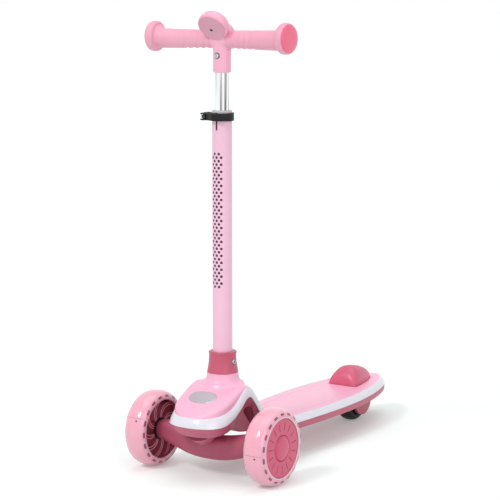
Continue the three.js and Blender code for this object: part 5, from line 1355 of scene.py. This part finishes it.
def teeSheets():
    # Neck, cross tube, a ball that fills between them, and the pod
    height = bar["height"]
    tube = moved(solidLathe(softened([[0, tee["neckFoot"]], [tee["neck"], tee["neckFoot"]],
                                      [tee["neck"], height], [0, height]],
                                     [0, tee["footRound"], 1, 0]), 64), stemPlace)
    cross = moved(rod(tee["cross"], -tee["crossHalf"], tee["crossHalf"], 64),
                  sideways(1, [0, neck["stemY"], height]))
    turn = np.linspace(-quarter, quarter, 40)
    ball = moved(solidLathe(np.stack([np.cos(turn), np.sin(turn)], -1), 64),
                 lambda points: points * tee["ball"] + tee["ballAt"])
    shape = moved(solidLathe(softened(podShares, pod["round"], 4)),
                  lambda points: podPlace(points * [pod["halfX"], pod["halfY"], pod["deep"]]))
    return [tube, cross, ball, shape]


def teeBody():
    # The four shapes become one skin of small voxels, whose joints are then smoothed into fillets
    piece = objectOf("teeBodySkin", teeSheets())
    remesh = piece.modifiers.new("remesh", "REMESH")
    remesh.mode = "VOXEL"
    remesh.voxel_size = tee["voxel"] * mm
    smooth = piece.modifiers.new("smooth", "SMOOTH")
    smooth.iterations = tee["smoothing"]
    bpy.context.view_layer.update()
    return applied(piece, sharp=60)


def podPlate():
    # The pod's flat face, a thin inset plate with its own crisp rim and a small hole
    low, high, edge = pod["plateFrom"], pod["plateTo"], pod["plateEdge"]
    profile = softened([[0, low], [pod["plate"], low], [pod["plate"], high], [0, high]],
                       [0, edge, edge, 0], 3)
    plate = objectOf("podFacePlate", [moved(
        solidLathe(profile), lambda points: podPlace(points * [pod["halfX"], pod["halfY"], 1]))])
    # The face's greyer rose is painted shade
    plate.data.materials.append(podFaceShade)
    # Dark ink on the hole's cut walls: painted shade in the hole
    hole = moved(rod(pod["hole"], pod["holeFrom"], pod["holeTo"], 24),
                 lambda points: podPlace(points + pod["holeAt"]))
    return cut(plate, [[hole]], material=plumInkAndShade)


# Size of the dark bead of painted shade round the sprung button
bead = {"thick": .35, "clear": .55, "sunk": .1}


def snapGapShade():
    # A dark bead round the sprung button, half sunk in the neck's front: painted shade of the gap round the
    # button
    low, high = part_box("snap_button")
    radius = (high[2] - low[2]) / 2 / mm + bead["clear"]
    place = [0, neck["stemY"] - tee["neck"] + bead["sunk"], middleOf("snap_button")[2]]
    return objectOf("snapGapShade", [moved(beadRing(radius, 0, bead["thick"], 48),
                                       lambda points: tilted(points, 90) + place)])


settle(teeBody(), "handlebar", pinkMoulding, ["tee_body"])
settle(podPlate(), "handlebar", None)
settle(snapGapShade(), "handlebar", oxideSteelAndShade)
for word, side in (("left", 1), ("right", -1)):
    settle(objectOf(f"gripSkin_{word}", [gripSheet(side)]), "handlebar", gripRubber,
           [f"grip_{word}"])
    settle(objectOf(f"endDisc_{word}", [endDisc(side)]), "handlebar", coralAbs,
           [f"end_cap_{word}"])
print("handlebar made")


# Floor, light and camera
room = {"floorSize": 30, "floorTones": ("#e9f1ef", "#ebf3f1"), "fleck": 3.0, "glow": 0.21, "sky": 0.5}
# Each lamp: where it shines from, its level, and how many degrees across its disc is
lamps = {"keyLamp": ((-0.4, -1.9, 1.9), 0.95, 14), "fillLamp": ((2.2, -1.4, 1.2), 0.52, 40),
         "topLamp": ((0.1, 0.2, 2.6), 0.7, 50)}
view = {"place": (1.56007, -2.493856, 0.76411), "turn": (81.493, 0, 33.298), "lens": 131.43, "sensor": 36}


def either(tree, first, second):
    # One where a ray is of either kind
    return addNode(tree, "ShaderNodeMath", {"operation": "MAXIMUM"}, {0: first, 1: second}).outputs[0]


def paperFloor():
    # A matt paper sweep with a faint glow that only the camera and mirrors see
    size = room["floorSize"]
    mesh = bpy.data.meshes.new("floor")
    mesh.from_pydata([(-size, -size, 0), (size, -size, 0), (size, size, 0), (-size, size, 0)], [],
                     [[0, 1, 2, 3]])
    material = bpy.data.materials.new("paleStudioFloor")
    material.use_nodes = True
    tree = material.node_tree
    tree.nodes.clear()
    spot = addNode(tree, "ShaderNodeTexCoord").outputs["Object"]
    fleck = addNode(tree, "ShaderNodeTexNoise", {"Scale": room["fleck"]}, {"Vector": spot})
    first, second = (linear(tone) for tone in room["floorTones"])
    tone = addNode(tree, "ShaderNodeMix", {"data_type": "RGBA", 6: first, 7: second},
                   {"Factor": fleck.outputs["Fac"]})
    matt = addNode(tree, "ShaderNodeBsdfDiffuse", {}, {"Color": tone.outputs[2]})
    path = addNode(tree, "ShaderNodeLightPath").outputs
    seen = either(tree, path["Is Camera Ray"], path["Is Glossy Ray"])
    glow = addNode(tree, "ShaderNodeMath", {"operation": "MULTIPLY", 1: room["glow"]}, {0: seen})
    lift = addNode(tree, "ShaderNodeEmission", {}, {"Strength": glow.outputs[0]})
    both = addNode(tree, "ShaderNodeAddShader", {}, {0: matt.outputs[0], 1: lift.outputs[0]})
    addNode(tree, "ShaderNodeOutputMaterial", {}, {"Surface": both.outputs[0]})
    mesh.materials.append(material)
    inScene("floor", mesh)


def whiteSky():
    # White where it is looked at, mirrored or seen through the tyres, and dimmer as a light
    world = bpy.data.worlds.new("studioWorld")
    bpy.context.scene.world = world
    world.use_nodes = True
    tree = world.node_tree
    tree.nodes.clear()
    path = addNode(tree, "ShaderNodeLightPath").outputs
    seen = either(tree, either(tree, path["Is Camera Ray"], path["Is Glossy Ray"]),
                  path["Is Transmission Ray"])
    level = addNode(tree, "ShaderNodeMapRange", {"To Min": room["sky"], "To Max": 1.0}, {"Value": seen})
    sky = addNode(tree, "ShaderNodeBackground", {"Color": (1, 1, 1, 1)}, {"Strength": level.outputs[0]})
    addNode(tree, "ShaderNodeOutputWorld", {}, {"Surface": sky.outputs[0]})


def lamp(name, spot, level, spread):
    # A wide soft source: a sun whose disc is 'spread' degrees across, so the floor is lit evenly
    light = bpy.data.lights.new(name, "SUN")
    light.angle = math.radians(spread)
    light.energy = level
    holder = inScene(name, light)
    holder.location = spot
    holder.rotation_euler = (-Vector(spot)).to_track_quat("-Z", "Y").to_euler()


def photoCamera():
    lens = bpy.data.cameras.new("photoCamera")
    lens.lens = view["lens"]
    lens.sensor_width = view["sensor"]
    holder = inScene("photoCamera", lens)
    holder.location = view["place"]
    holder.rotation_euler = Euler([math.radians(angle) for angle in view["turn"]])
    bpy.context.scene.camera = holder
    bpy.context.scene.view_settings.view_transform = "Standard"


paperFloor()
whiteSky()
for name, (spot, level, spread) in lamps.items():
    lamp(name, spot, level, spread)
photoCamera()
print("stage set")
